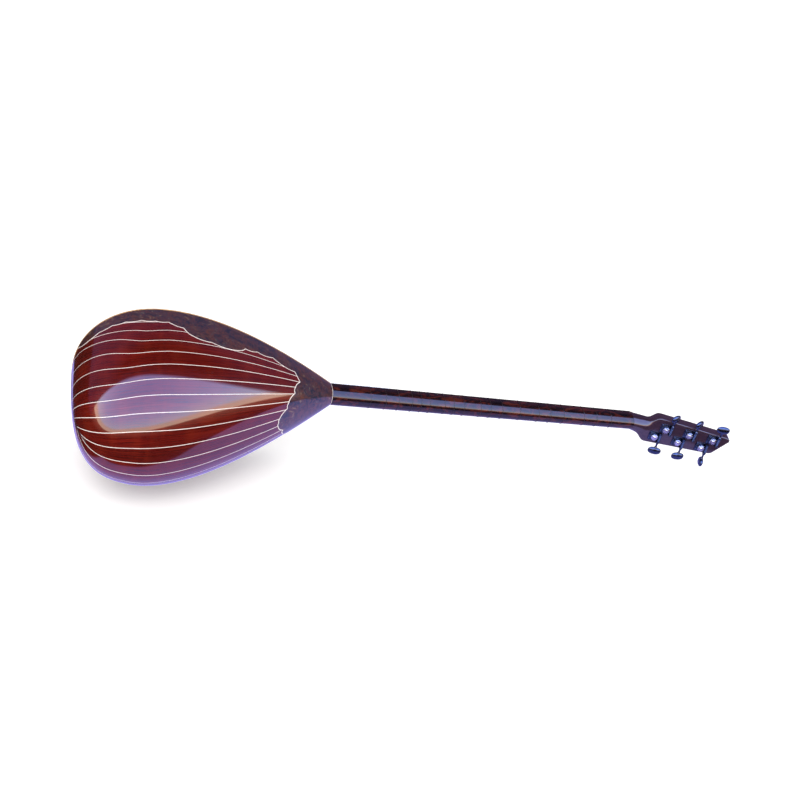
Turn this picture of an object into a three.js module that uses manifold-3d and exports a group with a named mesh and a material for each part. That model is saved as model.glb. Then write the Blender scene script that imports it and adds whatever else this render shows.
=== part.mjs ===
// Long-necked saz (baglama): a stave-built bowl with a burl rim, neck and back-tilted head,
// six worm-geared tuning machines and three double courses of strings.
//
// Frame, in millimetres: +X runs from the tail to the head, +Z is the side edge that is up when
// the instrument is held for playing, +Y is the way the soundboard and strings face.
// The origin is the lowest point of the bowl's rim, at its widest station, where it rests on a lap.
//
// Stations are given as (x, s, d): x from the tail end, s sideways from the centre line and
// d the depth behind the rim plane, towards the back of the bowl.

import * as THREE from 'three';
import { mergeVertices } from 'three/addons/utils/BufferGeometryUtils.js';
import Module from 'manifold-3d';

const wasm = await Module();
wasm.setup();

// ---------------------------------------------------------------- driving dimensions

const GAP = 0.3;                    // clearance between neighbouring pieces

const BOWL_LENGTH = 412;
const HALF_WIDTH = 119;             // of the rim, at its widest station
const WIDEST_X = 130;
const BOWL_DEPTH = 224;
const DEEPEST_X = 88;
const TAIL_ROUND_PLAN = 2.15;       // superellipse power of the tail, seen from the front
const TAIL_ROUND_SIDE = 3.4;        // the same, seen from the side: a blunter tail
const PLAN_TAPER = 1.7;             // how late the plan narrows towards the neck
const SIDE_TAPER = 0.6;             // how late the back rises towards the neck
const SECTION_SIDE = 2.35;          // superellipse powers of the bowl's cross-section
const SECTION_BACK = 2.6;
const STAVE_COUNT = 19;
const STAVE_PITCH = 0.092;          // of the half girth, from seam to seam
const SHELL = 3;                    // stave thickness
const TAIL_CAP_X = 4;               // the tail cap covers the bowl back to here
const NECK_CAP_X = 342;             // the neck cap's edge at the sides
const NECK_CAP_REACH = 30;          // and how much further it reaches along the keel
const NECK_CAP_SIDE = 0.5;          // girth fraction where the edge turns forward

const NECK_LENGTH = 558;            // bowl joint to nut
const NECK_ROOT = { w: 16.5, d: 25 };
const NECK_END = { w: 14, d: 25 };
const BOARD = 3;                    // soundboard and fingerboard thickness

const HEAD_TILT = THREE.MathUtils.degToRad(17);
const HEAD_THICK = 22;
const HEAD_DEPTH = 25;              // depth of the head's back plane at the nut

const HEAD_CORNER = 1.8;            // radius of its back edges

const TUNER_PITCH = 43;
const TUNER_FIRST = 41;             // first lower machine, from the nut along the head
const TUNER_STAGGER = 15;           // the upper row sits this much nearer the tip
const TUNER_ROW = 9.3;              // gear axes to the centre line
const GEAR_TEETH = 14;
const GEAR_RADIUS = 6;
const WORM_RADIUS = 2.8;
const WORM_OFFSET = 9.15;           // worm axis to gear axis
const WORM_HEIGHT = 6.5;            // worm axis above the head's back
const BUTTON_OUT = 25.6;            // button centre to gear axis, sideways
// how far each button has been turned at rest, lower row first
const BUTTON_TURN = [0, 12, 85, 45, 50, 5].map(THREE.MathUtils.degToRad);

const BRIDGE_X = 84;                // a fifth of the bowl, from the tail
const BRIDGE_TOP = 12.5;            // above the rim plane
const BRIDGE_HALF = 37;
const BRIDGE_FEET = 20;             // its arch spans between the feet
const BRIDGE_THICK = 4;
const NUT_TOP = 5.2;
const NUT_CREST = 1.2;              // the strings leave the nut here
const HOLDER = { x0: 5, x1: 15, half: 17, top: 8.5 };
const NUT_SPOTS = [8.1, 5.9, 1.1, -1.1, -5.9, -8.1];
const BRIDGE_SPREAD = 2;            // string spacing at the bridge over that at the nut
const STRING_RADII = [0.2, 0.2, 0.3, 0.3, 0.2, 0.45];

const NUT_X = BOWL_LENGTH + NECK_LENGTH;

// ---------------------------------------------------------------- materials

function finish(color, roughness, metalness = 0) {
  return () => new THREE.MeshStandardMaterial({ color, roughness, metalness });
}

const mahogany = finish('#5a0f0a', 0.15);
const burl = finish('#3d2f35', 0.18);
const darkNeck = finish('#2a1418', 0.2);
const lacquer = finish('#5b4568', 0.15);
const spruce = finish('#d9b27a', 0.45);
const innerWood = finish('#b98d5c', 0.8);
const bone = finish('#eee6d2', 0.4);
const maple = finish('#c89a62', 0.5);
const ebony = finish('#1b1412', 0.4);
const steel = finish('#c9c9cc', 0.3, 1);
const nickel = finish('#d6d6e2', 0.25, 1);
const smokedChrome = finish('#4a5270', 0.25, 1);

// ---------------------------------------------------------------- mesh helpers

const saz = new THREE.Group();

function place(x, s, d) {
  return new THREE.Vector3(x - WIDEST_X, -d, s + HALF_WIDTH);
}

function addMesh(parent, name, geometry, material) {
  const mesh = new THREE.Mesh(geometry, material());
  mesh.name = name;
  parent.add(mesh);
  return mesh;
}

// A closed geometry from points and triangles, turned to face outwards.
function solid(points, triangles) {
  let volume = 0;
  for (const [a, b, c] of triangles) {
    const side = new THREE.Vector3().crossVectors(points[b], points[c]);
    volume += points[a].dot(side);
  }
  const index = triangles.flatMap(([a, b, c]) => (volume < 0 ? [a, c, b] : [a, b, c]));
  const geometry = new THREE.BufferGeometry();
  geometry.setFromPoints(points);
  geometry.setIndex(index);
  return geometry;
}

// A solid through a list of closed rings with equal point counts and flat ends.
function loft(rings) {
  const count = rings[0].length;
  const points = rings.flat();
  const triangles = [];
  for (let r = 0; r + 1 < rings.length; r += 1) {
    for (let i = 0; i < count; i += 1) {
      const a = r * count + i;
      const b = r * count + ((i + 1) % count);
      triangles.push([a, b, b + count], [a, b + count, a + count]);
    }
  }
  const last = points.length - count;
  for (let i = 1; i + 1 < count; i += 1) {
    triangles.push([0, i + 1, i], [last, last + i, last + i + 1]);
  }
  return solid(points, triangles);
}

// A curved plate: outer(i, j) and inner(i, j) give its two faces as grids of points.
function plate(rows, columns, outer, inner) {
  const points = [];
  for (const face of [outer, inner]) {
    for (let i = 0; i <= rows; i += 1) {
      for (let j = 0; j <= columns; j += 1) {
        points.push(face(i, j));
      }
    }
  }
  const half = (rows + 1) * (columns + 1);
  const at = (i, j) => i * (columns + 1) + j;
  const triangles = [];
  for (let i = 0; i < rows; i += 1) {
    for (let j = 0; j < columns; j += 1) {
      const [a, b, c, d] = [at(i, j), at(i, j + 1), at(i + 1, j + 1), at(i + 1, j)];
      triangles.push([a, b, c], [a, c, d]);
      triangles.push([a + half, c + half, b + half], [a + half, d + half, c + half]);
    }
  }
  const edge = [];
  for (let j = 0; j < columns; j += 1) edge.push(at(0, j));
  for (let i = 0; i < rows; i += 1) edge.push(at(i, columns));
  for (let j = columns; j > 0; j -= 1) edge.push(at(rows, j));
  for (let i = rows; i > 0; i -= 1) edge.push(at(i, 0));
  edge.forEach((a, n) => {
    const b = edge[(n + 1) % edge.length];
    triangles.push([b, a, a + half], [b, a + half, b + half]);
  });
  return solid(points, triangles);
}

function toManifold(geometry) {
  const bare = geometry.clone();
  bare.deleteAttribute('normal');
  bare.deleteAttribute('uv');
  const merged = mergeVertices(bare, 1e-4);
  return new wasm.Manifold(new wasm.Mesh({
    numProp: 3,
    vertProperties: new Float32Array(merged.attributes.position.array),
    triVerts: new Uint32Array(merged.index.array),
  }));
}

function fromManifold(body) {
  const mesh = body.getMesh();
  const geometry = new THREE.BufferGeometry();
  geometry.setAttribute('position', new THREE.BufferAttribute(mesh.vertProperties, 3));
  geometry.setIndex(new THREE.BufferAttribute(mesh.triVerts, 1));
  return geometry;
}

function join(...geometries) {
  return fromManifold(geometries.map(toManifold).reduce((a, b) => a.add(b)));
}

function cut(geometry, ...tools) {
  return fromManifold(tools.map(toManifold).reduce((a, b) => a.subtract(b), toManifold(geometry)));
}

function box(x0, x1, y0, y1, z0, z1) {
  const geometry = new THREE.BoxGeometry(x1 - x0, y1 - y0, z1 - z0);
  return geometry.translate((x0 + x1) / 2, (y0 + y1) / 2, (z0 + z1) / 2);
}

// A round bar between two heights on the local Z axis.
function barZ(radius, z0, z1, sides = 12) {
  const geometry = new THREE.CylinderGeometry(radius, radius, z1 - z0, sides);
  return geometry.rotateX(Math.PI / 2).translate(0, 0, (z0 + z1) / 2);
}

// A round bar along the local Y axis, at (x, z).
function barY(radius, y0, y1, x, z, sides = 10) {
  const geometry = new THREE.CylinderGeometry(radius, radius, y1 - y0, sides);
  return geometry.translate(x, (y0 + y1) / 2, z);
}

// A round wire through a list of points.
function wire(points, radius, sides = 6) {
  const rings = points.map((point, n) => {
    const before = points[Math.max(n - 1, 0)];
    const after = points[Math.min(n + 1, points.length - 1)];
    const along = new THREE.Vector3().subVectors(after, before).normalize();
    const side = new THREE.Vector3(0, 0, 1).cross(along).normalize();
    const up = new THREE.Vector3().crossVectors(along, side);
    return Array.from({ length: sides }, (_, k) => {
      const angle = (2 * Math.PI * k) / sides;
      return point.clone()
        .addScaledVector(side, radius * Math.cos(angle))
        .addScaledVector(up, radius * Math.sin(angle));
    });
  });
  return loft(rings);
}

// ---------------------------------------------------------------- shape of the bowl

// Plan or side profile of the bowl at x, for a surface set in by `inset` all round.
function profile(x, size, peak, power, taper, end, inset) {
  if (x < peak) {
    const ratio = Math.min(Math.max((peak - x) / (peak - inset), 0), 1);
    return (size - inset) * (1 - ratio ** power) ** (1 / power);
  }
  const u = (x - peak) / (BOWL_LENGTH - peak);
  const fall = (u * u * (1 + taper)) / (u + taper);
  return end - inset + (size - end) * (1 - fall);
}

function halfWidth(x, inset = 0) {
  return profile(x, HALF_WIDTH, WIDEST_X, TAIL_ROUND_PLAN, PLAN_TAPER, NECK_ROOT.w, inset);
}

function depth(x, inset = 0) {
  return profile(x, BOWL_DEPTH, DEEPEST_X, TAIL_ROUND_SIDE, SIDE_TAPER, NECK_ROOT.d, inset);
}

// The half girth of one cross-section as points from the keel (0, d) to the rim (w, 0),
// with the running length at each.
function girth(w, d, steps = 40) {
  const points = [];
  let length = 0;
  for (let n = 0; n <= steps; n += 1) {
    const angle = (Math.PI / 2) * (n / steps);
    const s = w * Math.sin(angle) ** (2 / SECTION_SIDE);
    const back = n === steps ? 0 : d * Math.cos(angle) ** (2 / SECTION_BACK);
    if (n > 0) length += Math.hypot(s - points[n - 1].s, back - points[n - 1].d);
    points.push({ s, d: back, length });
  }
  return points;
}

// The point of a cross-section at girth fraction u: -1 and 1 are the rims, 0 is the keel.
function sectionPoint(w, d, u) {
  const points = girth(w, d);
  const target = Math.min(Math.abs(u), 1) * points.at(-1).length;
  const n = Math.max(points.findIndex((p) => p.length >= target - 1e-9), 1);
  const [a, b] = [points[n - 1], points[n]];
  const t = (target - a.length) / (b.length - a.length);
  return { s: Math.sign(u) * (a.s + t * (b.s - a.s)), d: a.d + t * (b.d - a.d) };
}

// x at an even spacing along the keel line, for a surface set in by `inset`.
function keelStations(inset, steps = 600) {
  const table = [{ x: inset, length: 0 }];
  for (let n = 1; n <= steps; n += 1) {
    const x = inset + (BOWL_LENGTH - inset) * (n / steps) ** 4;
    const before = table[n - 1];
    const rise = depth(x, inset) - depth(before.x, inset);
    table.push({ x, length: before.length + Math.hypot(x - before.x, rise) });
  }
  return table;
}

const KEELS = { outer: keelStations(0), inner: keelStations(SHELL) };

function lookUp(table, from, to, value) {
  const n = Math.max(table.findIndex((row) => row[from] >= value), 1);
  const [a, b] = [table[n - 1], table[n]];
  return a[to] + ((value - a[from]) / (b[from] - a[from])) * (b[to] - a[to]);
}

// Keel fraction (0 tail, 1 neck) of station x, and the two faces of the shell at it.
function keelFraction(x) {
  return lookUp(KEELS.outer, 'x', 'length', x) / KEELS.outer.at(-1).length;
}

function shellPoint(face, v, u) {
  const inset = face === 'outer' ? 0 : SHELL;
  const table = KEELS[face];
  const x = lookUp(table, 'length', 'x', v * table.at(-1).length);
  const { s, d } = sectionPoint(halfWidth(x, inset), depth(x, inset), u);
  return place(x, s, d);
}

// Girth fraction moved by a distance in millimetres at keel fraction v.
function shifted(u, v, distance) {
  const x = lookUp(KEELS.outer, 'length', 'x', v * KEELS.outer.at(-1).length);
  return u + distance / girth(halfWidth(x), depth(x)).at(-1).length;
}

// A piece of the shell between two girth fractions, from station start(u) to station end(u).
function shellPiece(rows, girths, start, end) {
  const columns = girths.length - 1;
  const point = (face) => (i, j) => {
    const from = keelFraction(start(girths[j]));
    const to = keelFraction(end(girths[j]));
    const v = from + (to - from) * (i / rows);
    const sideways = (j === 0 ? GAP / 2 : 0) - (j === columns ? GAP / 2 : 0);
    const onRim = Math.abs(girths[j]) === 1;
    return shellPoint(face, v, onRim ? girths[j] : shifted(girths[j], v, sideways));
  };
  return plate(rows, columns, point('outer'), point('inner'));
}

function neckCapEdge(u) {
  return NECK_CAP_X - NECK_CAP_REACH * Math.max(1 - Math.abs(u) / NECK_CAP_SIDE, 0);
}

const seam = (k) => (k - STAVE_COUNT / 2) * STAVE_PITCH;

// ---------------------------------------------------------------- bowl

const ROWS = 22;                    // facets along a stave
const NECK_CAP_ROWS = 5;
const shellStart = () => TAIL_CAP_X + GAP;
const shellEnd = (u) => neckCapEdge(u) - GAP;

function addBowl() {
  for (let k = 0; k < STAVE_COUNT; k += 1) {
    const girths = [seam(k), seam(k + 0.5), seam(k + 1)];
    const name = `stave_${String(STAVE_COUNT - k).padStart(2, '0')}`;
    addMesh(saz, name, shellPiece(ROWS, girths, shellStart, shellEnd), mahogany);
  }
  const rim = [seam(STAVE_COUNT), (seam(STAVE_COUNT) + 1) / 2, 1];
  const lowerRim = rim.map((u) => -u).reverse();
  addMesh(saz, 'rim_band_upper', shellPiece(ROWS, rim, shellStart, shellEnd), burl);
  addMesh(saz, 'rim_band_lower', shellPiece(ROWS, lowerRim, shellStart, shellEnd), burl);

  const around = [-1, -(seam(STAVE_COUNT) + 1) / 2];
  for (let k = 0; k <= 2 * STAVE_COUNT; k += 1) around.push(seam(k / 2));
  around.push((seam(STAVE_COUNT) + 1) / 2, 1);
  const cap = shellPiece(NECK_CAP_ROWS, around, neckCapEdge, () => BOWL_LENGTH);
  addMesh(saz, 'neck_cap', cap, burl);
}

// One closed ring of a solid D-shaped cross-section, flat at depth `front`.
function ring(x, w, d, front = 0, steps = 16) {
  return Array.from({ length: steps + 1 }, (_, n) => {
    const point = sectionPoint(w, d - front, -1 + (2 * n) / steps);
    return place(x, point.s, front + point.d);
  });
}

function insideRing(x, clearance, front) {
  return ring(x, halfWidth(x, clearance), depth(x, clearance), front);
}

const GLUE_ROOM = 2.2;              // between the faceted shell and the blocks inside it
const TENON = { x: BOWL_LENGTH - 28, w: 6.5, front: 4, back: 16 };
const TAIL_CAP_STATIONS = [0.4, 1.2, 2.4, TAIL_CAP_X];
const TAIL_BLOCK_STATIONS = [TAIL_CAP_X + GLUE_ROOM, 9, 14, 22, 32];
const NECK_BLOCK_STATIONS = [355, 375, 395, BOWL_LENGTH - 0.2];
const BLOCK_FRONT = 1;              // both blocks stop this far behind the soundboard

function tenonBox(growth) {
  const a = place(TENON.x - growth, -TENON.w - growth, TENON.back + growth);
  const b = place(BOWL_LENGTH + 2, TENON.w + growth, TENON.front - growth);
  return box(a.x, b.x, a.y, b.y, a.z, b.z);
}

function addBlocks() {
  const tailRings = TAIL_CAP_STATIONS.map((x) => ring(x, halfWidth(x), depth(x)));
  addMesh(saz, 'tail_cap', loft(tailRings), burl);

  const clear = SHELL + GLUE_ROOM;
  const tailBlock = TAIL_BLOCK_STATIONS.map((x) => insideRing(x, clear, BLOCK_FRONT));
  addMesh(saz, 'tail_block', loft(tailBlock), innerWood);

  const neckBlock = loft(NECK_BLOCK_STATIONS.map((x) => insideRing(x, clear, BLOCK_FRONT)));
  addMesh(saz, 'neck_block', cut(neckBlock, tenonBox(GAP)), innerWood);
}

// ---------------------------------------------------------------- front of the bowl

const SOUND_HOLE = { x: 355, s: 0, radius: 6 };
const BRACE_STATIONS = [120, 225];
const BRACE = { width: 6, depth: 9, short: 1.5 };
const BOARD_STATIONS = 30;

function boardOutline() {
  const shape = new THREE.Shape();
  const stations = [];
  for (let n = 0; n <= BOARD_STATIONS; n += 1) {
    stations.push(BOWL_LENGTH * (n / BOARD_STATIONS) ** 2);
  }
  const side = stations.map((x) => new THREE.Vector2(x, halfWidth(x)));
  const other = side.slice(1).reverse().map((p) => new THREE.Vector2(p.x, -p.y));
  shape.setFromPoints([...side, ...other]);
  return shape;
}

// An outline in (x, s), given a thickness from depth d0 forwards to depth d1.
function flatPiece(shape, d0, d1) {
  const geometry = new THREE.ExtrudeGeometry(shape, {
    depth: d0 - d1, bevelEnabled: false, curveSegments: 12,
  });
  // the outline's own (x, y) become (x, s), and its thickness runs forwards
  geometry.applyMatrix4(new THREE.Matrix4().makeBasis(
    new THREE.Vector3(1, 0, 0), new THREE.Vector3(0, 0, 1), new THREE.Vector3(0, -1, 0),
  ));
  const corner = place(0, 0, d1);
  return geometry.translate(corner.x, corner.y, corner.z);
}

function addBoard() {
  const outline = boardOutline();
  const spot = place(SOUND_HOLE.x, SOUND_HOLE.s, 0);
  const drill = barZ(SOUND_HOLE.radius, -20, 20, 20).rotateX(Math.PI / 2);
  drill.translate(spot.x, spot.y, spot.z);
  const board = cut(flatPiece(outline, -GAP, -GAP - BOARD), drill);
  addMesh(saz, 'soundboard', board, spruce);

  BRACE_STATIONS.forEach((x, n) => {
    const half = halfWidth(x, SHELL) - BRACE.short;
    const a = place(x - BRACE.width / 2, -half, BRACE.depth);
    const b = place(x + BRACE.width / 2, half, 0);
    const name = `soundboard_brace_${n + 1}`;
    addMesh(saz, name, box(a.x, b.x, a.y, b.y, a.z, b.z), innerWood);
  });
}

// ---------------------------------------------------------------- neck and head

const NECK_SPANS = 6;

function addNeck() {
  const rings = Array.from({ length: NECK_SPANS + 1 }, (_, n) => {
    const t = n / NECK_SPANS;
    const x = BOWL_LENGTH + GAP + (NECK_LENGTH - 2 * GAP) * t;
    const w = THREE.MathUtils.lerp(NECK_ROOT.w, NECK_END.w, t);
    const d = THREE.MathUtils.lerp(NECK_ROOT.d, NECK_END.d, t);
    return ring(x, w, d);
  });
  addMesh(saz, 'neck', join(loft(rings), tenonBox(0)), darkNeck);

  const shape = new THREE.Shape();
  shape.moveTo(BOWL_LENGTH + GAP, -NECK_ROOT.w);
  shape.lineTo(NUT_X - GAP, -NECK_END.w);
  shape.lineTo(NUT_X - GAP, NECK_END.w);
  shape.lineTo(BOWL_LENGTH + GAP, NECK_ROOT.w);
  addMesh(saz, 'fingerboard', flatPiece(shape, -GAP, -GAP - BOARD), ebony);
}

// The head's own frame: local X runs to the tip, Y sideways and Z out of its back.
const headFrame = new THREE.Group();
headFrame.position.copy(place(NUT_X, 0, HEAD_DEPTH));
headFrame.quaternion.setFromRotationMatrix(new THREE.Matrix4().makeBasis(
  new THREE.Vector3(Math.cos(HEAD_TILT), -Math.sin(HEAD_TILT), 0),
  new THREE.Vector3(0, 0, 1),
  new THREE.Vector3(-Math.sin(HEAD_TILT), -Math.cos(HEAD_TILT), 0),
));
saz.add(headFrame);
headFrame.updateMatrixWorld(true);

// The head frame's point (t, s, z) as a point of the whole instrument.
function onHead(t, s, z) {
  return new THREE.Vector3(t, s, z).applyMatrix4(headFrame.matrixWorld);
}

// The head's lower and upper edges as points (t, s) along it.
function edgeTable(path) {
  return path.getPoints(12).map((p) => ({ t: p.x, s: p.y }));
}

function lowerEdge() {
  const path = new THREE.Path();
  path.moveTo(0, -NECK_END.w);
  path.lineTo(9, -NECK_END.w);
  path.bezierCurveTo(16, -NECK_END.w, 18, -23.5, 27, -25);
  path.lineTo(144, -20);
  path.quadraticCurveTo(149, -19.5, 151.5, -16.5);
  path.lineTo(173, 12);
  return edgeTable(path);
}

function upperEdge() {
  const path = new THREE.Path();
  path.moveTo(0, NECK_END.w);
  path.lineTo(23, NECK_END.w);
  path.bezierCurveTo(32, NECK_END.w, 34, 26, 43, 26.5);
  path.lineTo(164, 18.9);
  path.quadraticCurveTo(172, 18, 173, 14.5);
  return edgeTable(path);
}

const LOWER_EDGE = lowerEdge();
const UPPER_EDGE = upperEdge();

function ease(value, start, end) {
  const t = THREE.MathUtils.clamp((value - start) / (end - start), 0, 1);
  return t * t * (3 - 2 * t);
}

// Half of a section with a rounded back corner, as (s, z) from the middle of the back.
function slabHalf(w, thick) {
  const radius = Math.min(HEAD_CORNER, w * 0.45);
  const points = [0, 0.4, 0.8].map((f) => [(w - radius) * f, 0]);
  for (let n = 0; n <= 3; n += 1) {
    const angle = (Math.PI / 2) * (n / 3);
    points.push([w - radius + radius * Math.sin(angle), radius * (Math.cos(angle) - 1)]);
  }
  points.push([w, -thick / 2], [w, -thick]);
  return points;
}

const ROUND_SHARES = [0, 0.2, 0.4, 0.5, 0.54, 0.58, 0.62, 0.8, 1];

function roundHalf(w, d) {
  return ROUND_SHARES.map((share) => {
    const point = sectionPoint(w, d, share);
    return [point.s, point.d - d];
  });
}

// One section of the head: the neck's round back turns into the flat slab, sooner on the
// lower side than on the upper.
function headRing(t) {
  const lower = -lookUp(LOWER_EDGE, 't', 's', t);
  const upper = lookUp(UPPER_EDGE, 't', 's', t);
  const centre = (ease(t, 60, 140) * (upper - lower)) / 2;
  const tilt = HEAD_TILT * ease(t, 0, 26);
  const out = new THREE.Vector3(-Math.sin(tilt), -Math.cos(tilt), 0);
  const back = (NECK_END.d - HEAD_DEPTH) * (1 - ease(t, 0, 26));
  const front = THREE.MathUtils.lerp(-HEAD_DEPTH, -HEAD_THICK, ease(t, 0, 26));
  const half = (side, width, start, end) => {
    const flat = slabHalf(width, back - front);
    const blend = ease(t, start, end);
    return roundHalf(width, back - front).map(([s, z], n) => {
      const across = THREE.MathUtils.lerp(s, flat[n][0], blend);
      const height = THREE.MathUtils.lerp(z, flat[n][1], blend);
      return onHead(t, centre + side * across, 0).addScaledVector(out, back + height);
    });
  };
  const lowerHalf = half(-1, lower + centre, -6, 24).reverse();
  return [...lowerHalf, ...half(1, upper - centre, 10, 44).slice(1)];
}

const tuners = [];
for (let n = 0; n < 6; n += 1) {
  const upper = n >= 3;
  tuners.push({
    number: n + 1,
    side: upper ? 1 : -1,
    t: TUNER_FIRST + (n % 3) * TUNER_PITCH + (upper ? TUNER_STAGGER : 0),
    turn: BUTTON_TURN[n],
  });
}

const POST_RADIUS = 3;
const POST_END = -HEAD_THICK - 13;  // front tip of each string post
const WINDING_Z = -HEAD_THICK - 4;  // where the string meets it

const HEAD_STATIONS = [
  0, 4, 8, 12, 16, 20, 24, 28, 32, 36, 40, 44, 60, 100, 140, 145, 149, 152, 158, 164, 169, 172,
];

function addHead() {
  const holes = tuners.map(({ t, side }) => {
    const hole = barZ(POST_RADIUS + GAP, -HEAD_THICK - 1, 1);
    return hole.translate(t, side * TUNER_ROW, 0).applyMatrix4(headFrame.matrixWorld);
  });
  addMesh(saz, 'head', cut(loft(HEAD_STATIONS.map(headRing)), ...holes), lacquer);

  const nut = new THREE.Shape();
  nut.moveTo(0, GAP);
  nut.lineTo(5, GAP);
  nut.lineTo(5, NUT_TOP - 2.4);
  nut.lineTo(NUT_CREST, NUT_TOP);
  nut.lineTo(0, NUT_TOP);
  const bar = new THREE.ExtrudeGeometry(nut, { depth: 2 * NECK_END.w, bevelEnabled: false });
  const corner = place(NUT_X, -NECK_END.w, 0);
  addMesh(saz, 'nut', bar.translate(corner.x, corner.y, corner.z), bone);
}

// ---------------------------------------------------------------- tuning machines

const PLATE = { x0: -9.5, x1: 13, y0: -8.9, y1: 9, z0: GAP, z1: 1.5 };
const EAR = { x0: 6.6, x1: 12.2, y: 7.3, thick: 1.6, top: 9.6 };
const GEAR = { z0: 4.5, z1: 8.5 };
const SHAFT_RADIUS = 1.5;
const STEM_RADIUS = 2.1;            // of the button, where the shaft enters it
const SCREW = { radius: 2.4, above: 1, below: 1 };
const BUTTON = { long: 12, wide: 7.6, thick: 4.2 };

function gearDisc() {
  const shape = new THREE.Shape();
  const root = GEAR_RADIUS - 1;
  for (let k = 0; k < GEAR_TEETH; k += 1) {
    [[-0.32, root], [-0.16, GEAR_RADIUS], [0.16, GEAR_RADIUS], [0.32, root]].forEach(([f, r], n) => {
      const angle = (2 * Math.PI * (k + f)) / GEAR_TEETH;
      const [x, y] = [r * Math.cos(angle), r * Math.sin(angle)];
      if (k === 0 && n === 0) shape.moveTo(x, y);
      else shape.lineTo(x, y);
    });
  }
  const depthOfDisc = GEAR.z1 - GEAR.z0;
  const disc = new THREE.ExtrudeGeometry(shape, { depth: depthOfDisc, bevelEnabled: false });
  return disc.translate(0, 0, GEAR.z0);
}

// The button is a flattened oval with its broad face across the worm shaft.
function buttonShape(y) {
  const geometry = new THREE.SphereGeometry(1, 12, 8);
  const { long, wide, thick } = BUTTON;
  return geometry.rotateX(Math.PI / 2).scale(long, wide, thick).translate(0, y, 0);
}

function addTuner({ number, side, t, turn }) {
  const group = new THREE.Group();
  group.position.set(t, side * TUNER_ROW, 0);
  headFrame.add(group);
  const out = (y0, y1) => (side > 0 ? [y0, y1] : [-y1, -y0]);

  const base = box(PLATE.x0, PLATE.x1, ...out(PLATE.y0, PLATE.y1), PLATE.z0, PLATE.z1);
  const ears = [-EAR.y - EAR.thick, EAR.y].map((y) => (
    box(EAR.x0, EAR.x1, ...out(y, y + EAR.thick), PLATE.z0, EAR.top)
  ));
  const bores = [
    barZ(POST_RADIUS + GAP, -1, 3),
    barY(SHAFT_RADIUS + GAP, -12, 12, WORM_OFFSET, WORM_HEIGHT),
  ];
  const bracket = cut(join(base, ...ears), ...bores);
  addMesh(group, `tuner_plate_${number}`, bracket, smokedChrome);

  const post = barZ(POST_RADIUS, POST_END, GEAR.z0 + 1);
  const cap = barZ(SCREW.radius, GEAR.z1 - SCREW.below, GEAR.z1 + SCREW.above);
  addMesh(group, `tuner_gear_post_${number}`, join(gearDisc(), post, cap), nickel);

  const inner = -EAR.y - EAR.thick - 0.8;
  const shaft = barY(SHAFT_RADIUS, ...out(inner, BUTTON_OUT), 0, 0);
  const barrel = barY(WORM_RADIUS, ...out(-EAR.y + GAP, EAR.y - GAP), 0, 0, 12);
  const stem = barY(STEM_RADIUS, ...out(EAR.y + EAR.thick + GAP, BUTTON_OUT - 4), 0, 0);
  const worm = join(shaft, barrel, stem, buttonShape(side * BUTTON_OUT));
  const mesh = addMesh(group, `tuner_worm_button_${number}`, worm, smokedChrome);
  mesh.position.set(WORM_OFFSET, 0, WORM_HEIGHT);
  mesh.rotation.y = turn;
}

// ---------------------------------------------------------------- strings and what bears them


// Outer strings go to the nearest posts and the middle course to the furthest.
const POST_OF_STRING = [3, 4, 5, 2, 1, 0];

function addStrings() {
  const a = place(HOLDER.x0, -HOLDER.half, -GAP * 2 - BOARD);
  const b = place(HOLDER.x1, HOLDER.half, -HOLDER.top);
  addMesh(saz, 'string_holder', box(a.x, b.x, a.y, b.y, a.z, b.z), ebony);

  const bridge = new THREE.Shape();
  const foot = BOARD + 2 * GAP;
  const [half, arch, crown] = [BRIDGE_HALF, BRIDGE_FEET, BRIDGE_FEET + 2];
  bridge.moveTo(-half, foot);
  bridge.lineTo(-arch, foot);
  bridge.quadraticCurveTo(0, foot + 6, arch, foot);
  bridge.lineTo(half, foot);
  bridge.quadraticCurveTo(30, BRIDGE_TOP - 1, crown, BRIDGE_TOP);
  bridge.lineTo(-crown, BRIDGE_TOP);
  bridge.quadraticCurveTo(-30, BRIDGE_TOP - 1, -half, foot);
  const standing = new THREE.ExtrudeGeometry(bridge, {
    depth: BRIDGE_THICK, bevelEnabled: false, curveSegments: 5,
  });
  // the outline's own (x, y) become (sideways, forwards)
  standing.applyMatrix4(new THREE.Matrix4().makeBasis(
    new THREE.Vector3(0, 0, 1), new THREE.Vector3(0, 1, 0), new THREE.Vector3(-1, 0, 0),
  ));
  const spot = place(BRIDGE_X + BRIDGE_THICK / 2, 0, 0);
  addMesh(saz, 'bridge', standing.translate(spot.x, spot.y, spot.z), maple);

  NUT_SPOTS.forEach((s, n) => {
    const radius = STRING_RADII[n];
    const lift = radius + GAP;
    const { t, side } = tuners[POST_OF_STRING[n]];
    const hugging = side * (TUNER_ROW - POST_RADIUS - lift);
    const route = [
      place(HOLDER.x1 + GAP, s * BRIDGE_SPREAD, -HOLDER.top + 2),
      place(BRIDGE_X, s * BRIDGE_SPREAD, -BRIDGE_TOP - lift),
      place(NUT_X + NUT_CREST, s, -NUT_TOP - lift),
      onHead(t, hugging, WINDING_Z),
    ];
    addMesh(saz, `string_${n + 1}`, wire(route, radius), steel);
  });
}

addBowl();
addBlocks();
addBoard();
addNeck();
addHead();
tuners.forEach(addTuner);
addStrings();

export default saz;
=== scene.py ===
"""Looks of a long-necked saz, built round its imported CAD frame.

Stations are (x, s, d) in millimetres: x from the tail end, s sideways from the centre line
and d the depth behind the rim plane. place() turns them into the frame's metres.
"""
import math
from functools import lru_cache

import bmesh
import bpy
import numpy as np
from mathutils import Matrix, Vector


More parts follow.
